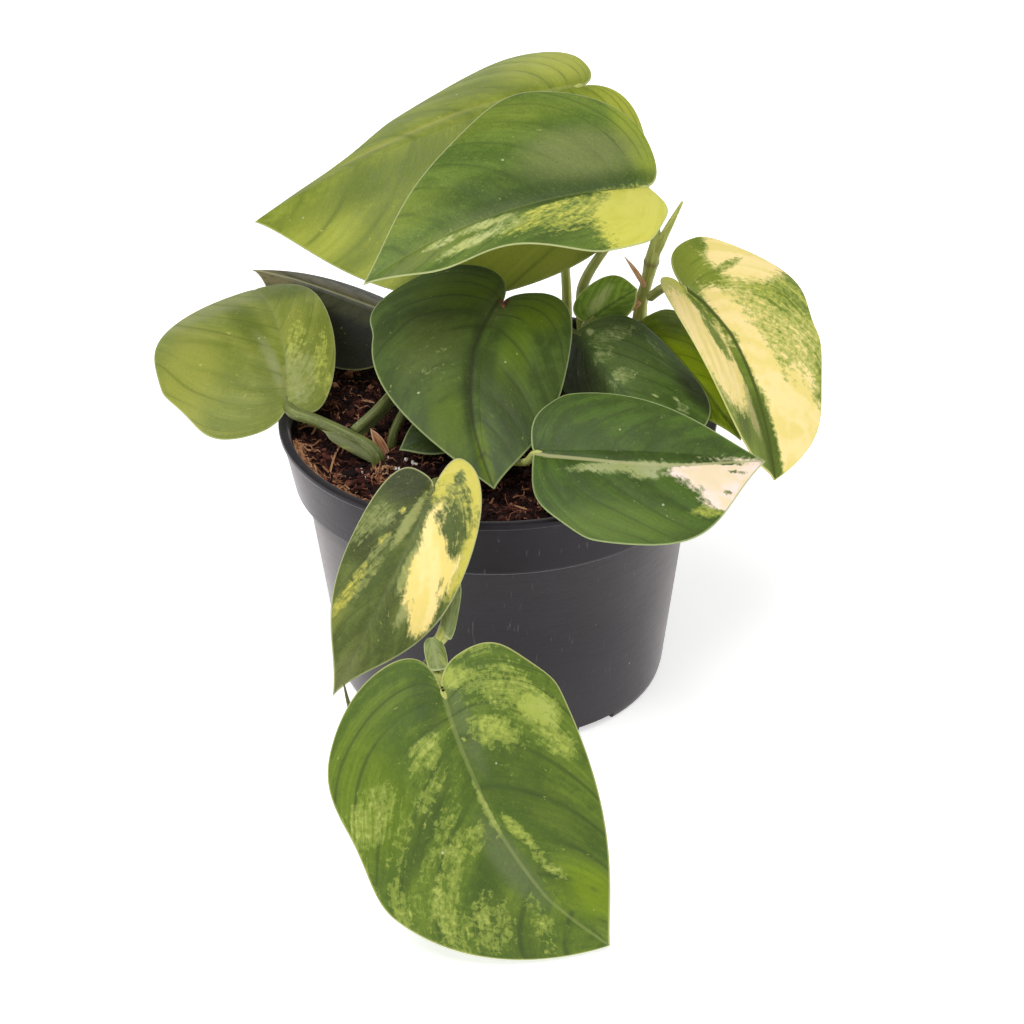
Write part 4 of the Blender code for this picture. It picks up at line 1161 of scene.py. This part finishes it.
def add_scales():
    brown = scale_material("papery_scale", (136, 78, 46), (206, 150, 112))
    # The right scales are paler, partly their own colour and partly painted light against the
    # shade they lie in
    pale = scale_material("pale_and_lit_scale", (232, 152, 96), (255, 216, 176))
    for name, blade in DRY_SCALES.items():
        mesh = blade_mesh(name + "_sheath", blade, SHEATH_LOOK, SHEATH_ROWS, SHEATH_COLUMNS,
                          SHEATH_THICKNESS, 0.0)
        place_piece(mesh, "dry", brown if name == "dry_scale_left" else pale, name)


# Brown bits that lie where two petioles join their blades, as places, sizes and tones, and the
# thin root that leaves the vine's joint and comes up before the tip of the hanging cream leaf
DRY_BITS = (
    (1.3, 7.2, 109.7, 0.7, 0.7), (2.6, 6.8, 109.5, 0.6, 0.6), (2.0, 6.0, 109.0, 0.6, 0.8),
    (3.1, 7.6, 109.6, 0.5, 0.6), (-14.6, -104.6, 59.8, 0.4, 0.2), (-14.3, -105.4, 59.5, 0.3, 0.3),
)
VINE_ROOT = (
    (-16.2, -88.2, 61.4), (-18.4, -90.6, 58.8), (-22, -94.6, 54.2), (-27.5, -98.4, 48.8),
    (-33.4, -100, 45.6), (-37.2, -98.2, 46.4), (-38.6, -95.6, 49.8), (-39.6, -93.4, 53.8),
)
VINE_ROOT_RADII = (0.75, 0.7, 0.6, 0.6, 0.55, 0.6, 0.5, 0.2)


def add_bits():
    """The brown bits in the sinuses of two leaves, and the root of the vine's joint."""
    *places, sizes, tones = zip(*DRY_BITS)
    mesh = lumps_mesh("dry_bits", list(zip(*places)), sizes, tones, 2)
    place_piece(mesh, "dry", soil_material("dry_bit", PEAT_STOPS))
    mesh = tube_mesh("vine_root", VINE_ROOT, VINE_ROOT_RADII)
    place_piece(mesh, "stem", stem_material("root_bark", *ROOT_COLOURS))


def turned_mesh(name, profile, steps):
    """A profile of (radius, height) places from the axis round to the axis, turned all round."""
    places, faces, rings = [], [], []
    for r, z in profile:
        if r == 0:
            places.append((0, 0, z * MM))
            rings.append([len(places) - 1] * steps)
            continue
        rings.append(list(range(len(places), len(places) + steps)))
        for k in range(steps):
            turn = 2 * pi * k / steps
            places.append((r * cos(turn) * MM, r * sin(turn) * MM, z * MM))
    for low, high in zip(rings, rings[1:]):
        for k in range(steps):
            n = (k + 1) % steps
            face = [low[k], high[k], high[n], low[n]]
            faces.append([v for m, v in enumerate(face) if v != face[m - 1]])
    return new_mesh(name, places, faces, False)


def pot_profile():
    """The pot's section, from its floor over the rim and down to the pad under its centre."""
    inner_top = RIM_RADIUS - 2 * WALL
    return (
        (0, FLOOR_TOP), (BASE_RADIUS - WALL - 1.2, FLOOR_TOP), (BASE_RADIUS - WALL, FLOOR_TOP + 1),
        (NECK_RADIUS - WALL, COLLAR_BOTTOM - WALL),
        (COLLAR_BOTTOM_RADIUS - WALL, COLLAR_BOTTOM + WALL),
        (inner_top, POT_HEIGHT - 0.7), (inner_top + 0.15, POT_HEIGHT - 0.25),
        (inner_top + 0.5, POT_HEIGHT), (RIM_RADIUS - 0.5, POT_HEIGHT),
        (RIM_RADIUS - 0.12, POT_HEIGHT - 0.15), (RIM_RADIUS, POT_HEIGHT - 0.5),
        (RIM_RADIUS, POT_HEIGHT - 1.3), (RIM_RADIUS - 0.15, POT_HEIGHT - 1.65),
        (COLLAR_TOP_RADIUS + 0.1, POT_HEIGHT - 1.95), (COLLAR_TOP_RADIUS - 0.05, POT_HEIGHT - 2.5),
        (COLLAR_BOTTOM_RADIUS + 0.25, COLLAR_BOTTOM + 1.1),
        (COLLAR_BOTTOM_RADIUS + 0.1, COLLAR_BOTTOM + 0.4),
        (COLLAR_BOTTOM_RADIUS - 0.3, COLLAR_BOTTOM + 0.05),
        (COLLAR_BOTTOM_RADIUS - 0.8, COLLAR_BOTTOM),
        (NECK_RADIUS + 0.6, COLLAR_BOTTOM - 0.2), (NECK_RADIUS, COLLAR_BOTTOM - 0.8),
        (BASE_RADIUS + 0.3, 3.4), (BASE_RADIUS, 2.0), (BASE_RADIUS - 0.3, 1.0),
        (BASE_RADIUS - 0.8, 0.3), (BASE_RADIUS - 1.5, 0), (FOOT_INNER_RADIUS, 0),
        (FOOT_INNER_RADIUS - 0.5, FOOT_HEIGHT), (CENTRE_PAD_RADIUS + 0.5, FOOT_HEIGHT),
        (CENTRE_PAD_RADIUS, 0), (0, 0),
    )


def around(first, count, radius):
    """Angles and places evenly round the pot's axis, on the ground."""
    for k in range(count):
        angle = radians(first + 360 / count * k)
        yield angle, Vector((cos(angle), sin(angle), 0)) * radius * MM


def pot_cutters():
    """Blocks for the notches of the foot and cylinders for the drain holes."""
    cutters = []
    for angle, place in around(NOTCH_FIRST_ANGLE, NOTCHES, NOTCH_CENTRE_RADIUS):
        bpy.ops.mesh.primitive_cube_add(size=1)
        cut = bpy.context.object
        cut.scale = [size * MM for size in NOTCH_SIZE]
        cut.rotation_euler.z = angle
        cut.location = place
        cutters.append(cut)
    half_step = 180 / DRAINS
    for _, place in around(NOTCH_FIRST_ANGLE + half_step, DRAINS, DRAIN_CIRCLE_RADIUS):
        bpy.ops.mesh.primitive_cylinder_add(
            vertices=DRAIN_SIDES, radius=DRAIN_RADIUS * MM, depth=DRAIN_CUT_HEIGHT * MM,
            location=place,
        )
        cutters.append(bpy.context.object)
    return cutters


def add_pot():
    plastic = pot_material()
    mesh = turned_mesh("pot_shell", pot_profile(), POT_STEPS)
    made = place_piece(mesh, "pot", plastic, "pot")
    cutters = pot_cutters()
    for cut in cutters:
        hole = made.modifiers.new("Hole", "BOOLEAN")
        hole.operation, hole.solver, hole.object = "DIFFERENCE", "EXACT", cut
    bpy.context.view_layer.update()
    shape = made.evaluated_get(bpy.context.evaluated_depsgraph_get())
    cut_mesh = bpy.data.meshes.new_from_object(shape)
    made.modifiers.clear()
    made.data = cut_mesh
    for cut in cutters:
        bpy.data.objects.remove(cut)
    cut_mesh.polygons.foreach_set("use_smooth", [True] * len(cut_mesh.polygons))
    cut_mesh.set_sharp_from_angle(angle=radians(SHARP_ANGLE))
    cut_mesh.materials.clear()
    cut_mesh.materials.append(plastic)


def pot_material():
    """Dark plastic with faint drawn lines, short scratches and dust, painted paler towards the
    foot as a painted reflection of the floor.
    """
    shader = Shader("pot_plastic")
    where = shader.object_place()
    grain = shader.noise(where, 1400.0, 2.0, 0.5)
    cloud = shader.noise(where, 38.0, 3.0, 0.6)
    drawn = shader.noise(shader.scaled(where, (130, 130, 1100)), 1.0, 3.0, 0.7)
    scratches = shader.noise(shader.scaled(where, (900, 900, 60), (3, 1, 2)), 1.0, 2.0, 0.6)
    specks = shader.node("ShaderNodeTexVoronoi", 0, Vector=where, Scale=190.0)
    chosen = shader.ramp(specks.node.outputs["Color"], 0.76, 0.78)
    colour = shader.mix(shader.ramp(cloud, 0.3, 0.7), linear(*POT_DARK), linear(*POT_LIGHT))
    colour = shader.mix(shader.ramp(scratches, 0.66, 0.74, 0.0, 0.35), colour,
                        linear(*POT_SCRATCH))
    dust = shader.math("MULTIPLY", shader.ramp(specks, 0.05, 0.1, 0.6, 0.0), chosen)
    colour = shader.mix(dust, colour, linear(*POT_DUST))
    # Painted reflection of the pale floor: paler towards the foot
    upright = shader.node("ShaderNodeSeparateXYZ", 2, Vector=where)
    colour = shader.mix(shader.ramp(upright, 0.0, FLOOR_REFLECTION_TOP * MM, 0.6, 0.0), colour,
                        linear(*POT_FLOOR_REFLECTION))
    rough = shader.math("ADD", shader.ramp(cloud, 0.3, 0.7, 0.36, 0.44),
                        shader.ramp(drawn, 0.4, 0.7, 0.0, 0.06))
    height = shader.math("ADD", grain, shader.math("MULTIPLY", drawn, 0.6))
    shader.set(Base_Color=colour, Roughness=rough, Specular_IOR_Level=0.2,
               Sheen_Weight=0.5, Sheen_Roughness=0.3, Sheen_Tint=(1.0, 0.9, 0.93, 1.0),
               Normal=shader.bump(height, 0.12, 0.0002))
    return shader.material


def soil_height(x, y):
    """The uneven top of the soil: a few slow waves across it."""
    waves = (
        sin(0.19 * x + 0.8) * cos(0.23 * y - 0.4)
        + 0.6 * sin(0.41 * x - 0.29 * y + 2.1)
        + 0.4 * cos(0.13 * x + 0.52 * y)
    )
    return SOIL_LEVEL + SOIL_RELIEF * waves / 1.4


def rough_height(x, y):
    """The soil's top with its grains and clods."""
    place = Vector((x, y, 0))
    clods = noise.fractal(place * 0.28, 0.7, 2.2, 5)
    grains = noise.fractal(place * 1.1 + Vector((9, 4, 2)), 0.6, 2.3, 3)
    return soil_height(x, y) + 1.1 * clods + 0.45 * grains


def ball(divisions):
    """The corners and faces of a ball of triangles."""
    mesh = bmesh.new()
    bmesh.ops.create_icosphere(mesh, subdivisions=divisions, radius=1)
    places = np.array([vertex.co for vertex in mesh.verts])
    faces = np.array([[vertex.index for vertex in face.verts] for face in mesh.faces])
    mesh.free()
    return places, faces


def tone_mesh(name, places, faces, tones, smooth_faces=False):
    """A mesh in millimetres whose vertices carry a tone, for a colour of their own."""
    return new_mesh(name, (np.asarray(places) * MM).tolist(), np.asarray(faces).tolist(),
                    smooth_faces, {"tone": tones})


def lumps_mesh(name, centres, sizes, tones, divisions):
    """Many uneven lumps in one mesh, each turned its own way."""
    base, corners = ball(divisions)
    count, points = len(centres), len(base)
    shape = base[None] * random.uniform(0.5, 1.3, (count, 1, 3))
    shape = shape * random.uniform(0.75, 1.25, (count, points, 1))
    a, b, c, d = random.normal(size=(4, count))
    norm = np.sqrt(a * a + b * b + c * c + d * d)
    a, b, c, d = a / norm, b / norm, c / norm, d / norm
    turns = np.stack((
        np.stack((1 - 2 * (c * c + d * d), 2 * (b * c - a * d), 2 * (b * d + a * c)), axis=1),
        np.stack((2 * (b * c + a * d), 1 - 2 * (b * b + d * d), 2 * (c * d - a * b)), axis=1),
        np.stack((2 * (b * d - a * c), 2 * (c * d + a * b), 1 - 2 * (b * b + c * c)), axis=1),
    ), axis=1)
    shape = np.einsum("cij,cvj->cvi", turns, shape) * np.asarray(sizes)[:, None, None]
    places = (shape + np.asarray(centres)[:, None]).reshape(-1, 3)
    faces = (corners[None] + (np.arange(count) * points)[:, None, None]).reshape(-1, 3)
    return tone_mesh(name, places, faces, np.repeat(tones, points))


def thin_tubes(name, ways, radii, tones):
    """Many fine tubes with pointed ends in one mesh."""
    places, faces, values = [], [], []
    for way, radius, tone in zip(ways, radii, tones):
        first, last = len(places), len(way) - 1
        for k, place in enumerate(way):
            ahead = (way[min(k + 1, last)] - way[max(k - 1, 0)]).normalized()
            across = ahead.cross(Vector((0.01, 0, 1))).normalized()
            other = across.cross(ahead)
            slim = radius * (0.35 if k in (0, last) else 1)
            for m in range(FIBRE_SIDES):
                turn = 2 * pi * m / FIBRE_SIDES
                places.append(place + (across * cos(turn) + other * sin(turn)) * slim)
        for k in range(last):
            for m in range(FIBRE_SIDES):
                n = (m + 1) % FIBRE_SIDES
                row, after = first + k * FIBRE_SIDES, first + (k + 1) * FIBRE_SIDES
                faces.append((row + m, row + n, after + n))
                faces.append((row + m, after + n, after + m))
        for row, order in ((first, -1), (first + last * FIBRE_SIDES, 1)):
            ring = [row + m for m in range(FIBRE_SIDES)][::order]
            faces += [(ring[0], ring[m], ring[m + 1]) for m in range(1, FIBRE_SIDES - 1)]
        values += [tone] * ((last + 1) * FIBRE_SIDES)
    return tone_mesh(name, places, faces, values)


def lying_way(x, y, heading, length, wander, lift):
    """A fibre's way over the soil from (x, y), which turns and rises a little at each step."""
    way = []
    for _ in range(FIBRE_POINTS):
        reach = hypot(x, y)
        if reach > FIBRE_EDGE:
            x, y = x * FIBRE_EDGE / reach, y * FIBRE_EDGE / reach
        way.append(Vector((x, y, rough_height(x, y) + 0.2 + lift * random.uniform(0, 1))))
        heading += random.normal(0, wander)
        x += length / FIBRE_POINTS * cos(heading)
        y += length / FIBRE_POINTS * sin(heading)
    return way


def scattered(count, reach):
    """count places spread evenly over the soil, as x and y."""
    radius = reach * np.sqrt(random.uniform(0, 1, count))
    turn = random.uniform(0, 2 * pi, count)
    return radius * np.cos(turn), radius * np.sin(turn)


def soil_material(name, stops):
    """Peat, bark or root, coloured by the tone of each lump or fibre."""
    shader = Shader(name)
    where = shader.object_place()
    grain = shader.noise(where, 1500.0, 3.0, 0.6)
    tone = shader.math("ADD", shader.read("tone"),
                       shader.math("MULTIPLY_ADD", grain, 0.5, -0.25))
    shader.set(Base_Color=shader.gradient(tone, stops),
               Roughness=shader.ramp(grain, 0.3, 0.7, 0.8, 0.95),
               Specular_IOR_Level=0.2, Normal=shader.bump(grain, 0.7, 0.0004))
    return shader.material


# Peat: crumbs by kind, as their number, least and greatest size, and divisions of their ball
CRUMBS = {"soil_crumbs": (1700, 0.5, 1.5, 2), "soil_dust": (5200, 0.25, 0.7, 1)}
CRUMB_LIFT = 0.3
CRUMB_TONES = (1.6, 2.6)
BED_TONES = (0.05, 0.4)
ROOT_TONES = (0.2, 0.8)
PORE_COLOUR, PERLITE_COLOUR = (206, 200, 190), (250, 248, 244)
FIBRES = 1900
FIBRE_SIDES = 5
FIBRE_POINTS = 8
FIBRE_EDGE = 56.3
# The mat of coir along the rim at the front left, as angles in degrees
COIR_FROM, COIR_TO = 186, 232
COIR_FIBRES = 260
COIR_WIDTH = 2.0
PEAT_STOPS = (
    (0.0, (15, 8, 7)), (0.35, (39, 18, 16)), (0.6, (78, 39, 31)), (0.8, (118, 70, 53)),
    (1.0, (184, 132, 100)),
)
ROOT_STOPS = ((0.0, (96, 58, 36)), (0.5, (160, 112, 76)), (1.0, (206, 174, 140)))
# Thin roots that lie on the soil, as places and a radius
ROOTS = (
    (((-42.5, -11.5), (-44.0, -17.5), (-45.0, -23.8), (-44.1, -25.4), (-39.0, -27.1)), 0.34),
    (((-47.2, -21.6), (-45.2, -24.2), (-43.2, -25.6), (-37.0, -25.0)), 0.3),
    (((-54.9, -2.3), (-52.5, 0.5), (-50.0, -1.5), (-50.8, -5.0)), 0.3),
    (((-57.0, -9.0), (-53.5, -7.8), (-50.5, -10.5), (-48.0, -9.0)), 0.26),
    (((-42.5, 15.4), (-40.0, 13.0), (-37.7, 14.1), (-34.0, 12.0)), 0.26),
    (((4.0, -42.0), (8.5, -45.5), (12.0, -44.0), (16.0, -47.0)), 0.3),
    (((28.0, -30.0), (20.0, -36.0), (14.0, -33.0), (6.0, -36.0)), 0.3),
    (((-20.0, 40.0), (-12.0, 44.0), (-2.0, 42.0), (8.0, 46.0)), 0.32),
    (((40.0, 6.0), (46.0, 0.0), (44.0, -8.0), (49.0, -14.0)), 0.3),
)
ROOT_LIFT = 0.7
ROOT_POINTS = 20
# A tuft of fine roots at the foot of the left petiole
ROOT_CLUMP = ((-31.5, -24.5), (-32.6, -26.8), (-31.5, -28.9), (-30.0, -23.0))
CLUMP_FIBRES = 7
CLUMP_LENGTH = 3.4
CLUMP_RADIUS = 0.2
# White grains, as places and a radius
PERLITE = (
    (-28.9, -4.7, 0.5), (-29.6, -17.8, 0.45), (-27.4, -22.7, 0.5), (-26.6, -22.0, 0.6),
    (-24.8, -19.6, 0.6), (-22.8, -21.3, 0.75), (-22.2, -21.8, 0.6), (-24.1, -23.3, 0.4),
    (-36.7, -23.5, 0.4), (-35.5, -28.8, 0.45), (-36.3, -26.5, 0.35), (-40.5, 7.0, 0.35),
    (30.0, 38.0, 0.7), (12.0, -40.5, 0.4), (-6.0, 47.0, 0.6), (44.0, -20.0, 0.5),
)


def add_soil_bed(peat):
    """The soil's rough top, and its plain sides and bottom inside the pot."""
    places, rings = [(0, 0, rough_height(0, 0))], []
    inset = WALL + 0.35
    outlines = [(SOIL_EDGE * ring / SOIL_RINGS, None) for ring in range(1, SOIL_RINGS + 1)]
    outlines += [(COLLAR_BOTTOM_RADIUS - inset, COLLAR_BOTTOM + inset),
                 (NECK_RADIUS - inset, COLLAR_BOTTOM - WALL),
                 (BASE_RADIUS - inset - 0.4, FLOOR_TOP + 0.4)]
    for radius, height in outlines:
        rings.append(len(places))
        for k in range(SOIL_STEPS):
            x = radius * cos(2 * pi * k / SOIL_STEPS)
            y = radius * sin(2 * pi * k / SOIL_STEPS)
            places.append((x, y, rough_height(x, y) if height is None else height))
    faces = []
    for k in range(SOIL_STEPS):
        n = (k + 1) % SOIL_STEPS
        faces.append((0, rings[0] + k, rings[0] + n))
        for low, high in zip(rings, rings[1:]):
            faces.append((low + k, high + k, high + n))
            faces.append((low + k, high + n, low + n))
    base = [rings[-1] + k for k in range(SOIL_STEPS)][::-1]
    faces += [(base[0], base[k], base[k + 1]) for k in range(1, SOIL_STEPS - 1)]
    tones = random.uniform(*BED_TONES, len(places))
    place_piece(tone_mesh("soil_bed", places, faces, tones, True), "soil", peat, "soil")


def add_crumbs(peat):
    for name, (count, least, most, divisions) in CRUMBS.items():
        sizes = least + (most - least) * random.uniform(0, 1, count) ** 2.5
        xs, ys = scattered(count, SOIL_EDGE - most)
        centres = [(x, y, rough_height(x, y) + CRUMB_LIFT * size)
                   for x, y, size in zip(xs, ys, sizes)]
        tones = random.beta(*CRUMB_TONES, count)
        place_piece(lumps_mesh(name, centres, sizes, tones, divisions), "soil", peat)


def add_fibres(peat, fibrous):
    """Fibres all over the soil, and the mat of coir along the rim."""
    xs, ys = scattered(FIBRES, FIBRE_EDGE)
    ways = [
        lying_way(x, y, random.uniform(0, 2 * pi), random.uniform(3, 11), 0.5, 0.9)
        for x, y in zip(xs, ys)
    ]
    mesh = thin_tubes("soil_fibres", ways, random.uniform(0.09, 0.24, FIBRES),
                      random.uniform(0.35, 1.0, FIBRES) ** 2)
    place_piece(mesh, "soil", peat)

    ways = []
    for _ in range(COIR_FIBRES):
        turn = radians(random.uniform(COIR_FROM, COIR_TO))
        reach = FIBRE_EDGE - COIR_WIDTH * random.uniform(0, 1) ** 2
        heading = turn + pi / 2 + random.normal(0, 0.14)
        ways.append(lying_way(reach * cos(turn), reach * sin(turn), heading,
                              random.uniform(4, 10), 0.16, 1.1))
    mesh = thin_tubes("coir_mat", ways, random.uniform(0.12, 0.28, COIR_FIBRES),
                      random.uniform(0.05, 0.75, COIR_FIBRES))
    place_piece(mesh, "soil", fibrous)


def add_roots(fibrous):
    ways, radii = [], []
    for route, radius in ROOTS:
        points = [Vector((x, y, rough_height(x, y) + ROOT_LIFT)) for x, y in route]
        ways.append(catmull_rom(points, ROOT_POINTS))
        radii.append(radius)
    for x, y in ROOT_CLUMP:
        for _ in range(CLUMP_FIBRES):
            ways.append(lying_way(x, y, random.uniform(0, 2 * pi), CLUMP_LENGTH, 0.7, 1.0))
            radii.append(CLUMP_RADIUS)
    tones = random.uniform(*ROOT_TONES, len(ways))
    place_piece(thin_tubes("bare_roots", ways, radii, tones), "soil", fibrous)


def add_perlite():
    shader = Shader("perlite_grain")
    where = shader.object_place()
    pores = shader.noise(where, 2600.0, 2.0, 0.6)
    shader.set(Base_Color=shader.mix(pores, linear(*PORE_COLOUR), linear(*PERLITE_COLOUR)),
               Roughness=shader.ramp(pores, 0.3, 0.7, 0.7, 0.9),
               Normal=shader.bump(pores, 0.7, 0.0003))
    centres = [(x, y, rough_height(x, y) + ROOT_LIFT) for x, y, _ in PERLITE]
    sizes = [size for _, _, size in PERLITE]
    mesh = lumps_mesh("perlite", centres, sizes, np.ones(len(PERLITE)), 2)
    place_piece(mesh, "soil", shader.material)


def add_soil():
    peat = soil_material("soil_peat", PEAT_STOPS)
    fibrous = soil_material("soil_fibre", ROOT_STOPS)
    add_soil_bed(peat)
    add_crumbs(peat)
    add_fibres(peat, fibrous)
    add_roots(fibrous)
    add_perlite()


# The photograph's camera
CAMERA_PITCH = 31.0
CAMERA_ROLL = -0.9
CAMERA_PLACE = (3.5, -750.5, 498.4)
CAMERA_LENS = 110.4
CAMERA_SENSOR = 36
CAMERA_REACH = 20


def add_camera():
    pitch, roll = radians(CAMERA_PITCH), radians(CAMERA_ROLL)
    level = Vector((1, 0, 0))
    lifted = Vector((0, sin(pitch), cos(pitch)))
    ahead = Vector((0, cos(pitch), -sin(pitch)))
    right = level * cos(roll) + lifted * sin(roll)
    top = lifted * cos(roll) - level * sin(roll)
    camera = bpy.data.objects.new("camera", bpy.data.cameras.new("camera"))
    bpy.context.scene.collection.objects.link(camera)
    camera.data.lens = CAMERA_LENS
    camera.data.sensor_width = CAMERA_SENSOR
    camera.data.clip_end = CAMERA_REACH
    turn = Matrix((right, top, -ahead)).transposed()
    camera.matrix_world = Matrix.Translation(Vector(CAMERA_PLACE) * MM) @ turn.to_4x4()
    bpy.context.scene.camera = camera


def area_light(name, place, target, size, power):
    light = bpy.data.lights.new(name, "AREA")
    light.shape, light.size, light.size_y = "RECTANGLE", *size
    light.energy = power
    made = bpy.data.objects.new(name, light)
    bpy.context.scene.collection.objects.link(made)
    made.location = place
    made.rotation_mode = "QUATERNION"
    made.rotation_quaternion = (Vector(target) - Vector(place)).to_track_quat("-Z", "Y")


# The surroundings are white walls under a darker ceiling: how bright they are, from low down to
# high up, by the height of the way to them
WORLD_HEIGHTS = (0.3, 0.8)
WORLD_STRENGTHS = (1.0, 0.25)
# The floor, in metres, and the brightness that keeps it pale in low views
FLOOR_REACH = 6
FLOOR_GLOW = 0.55
KEY_LIGHT = {
    "place": (-0.3, -0.45, 1.45), "target": (0, 0, 0.08), "size": (1.3, 1.0), "power": 19,
}


def add_stage():
    """A pale floor and soft light from all round, strongest from the upper left."""
    near, far = -FLOOR_REACH, FLOOR_REACH
    corners = [(near, near, 0), (far, near, 0), (far, far, 0), (near, far, 0)]
    mesh = new_mesh("floor", corners, [(0, 1, 2, 3)], False)
    floor = bpy.data.objects.new("floor", mesh)
    bpy.context.scene.collection.objects.link(floor)
    shader = Shader("floor_paper")
    where = shader.object_place()
    tone = shader.noise(where, 3.0, 2.0, 0.5)
    colour = shader.mix(tone, (0.9, 0.9, 0.9, 1), (0.93, 0.93, 0.93, 1))
    shader.set(Base_Color=colour, Roughness=0.9, Emission_Color=(1, 1, 1, 1),
               Emission_Strength=FLOOR_GLOW)
    mesh.materials.append(shader.material)
    world = bpy.data.worlds.new("studio")
    world.use_nodes = True
    background = world.node_tree.nodes["Background"]
    background.inputs["Color"].default_value = (1, 1, 1, 1)
    nodes, links = world.node_tree.nodes, world.node_tree.links
    where = nodes.new("ShaderNodeTexCoord")
    parts = nodes.new("ShaderNodeSeparateXYZ")
    fall = nodes.new("ShaderNodeMapRange")
    fall.interpolation_type = "SMOOTHSTEP"
    for place, value in zip((1, 2, 3, 4), (*WORLD_HEIGHTS, *WORLD_STRENGTHS)):
        fall.inputs[place].default_value = value
    links.new(where.outputs["Generated"], parts.inputs[0])
    links.new(parts.outputs["Z"], fall.inputs[0])
    links.new(fall.outputs[0], background.inputs["Strength"])
    bpy.context.scene.world = world
    area_light("key", **KEY_LIGHT)
    bpy.context.scene.view_settings.view_transform = "Standard"


add_camera()
add_stage()
add_pot()
add_soil()
add_leaves()
add_shoots()
add_scales()
add_bits()
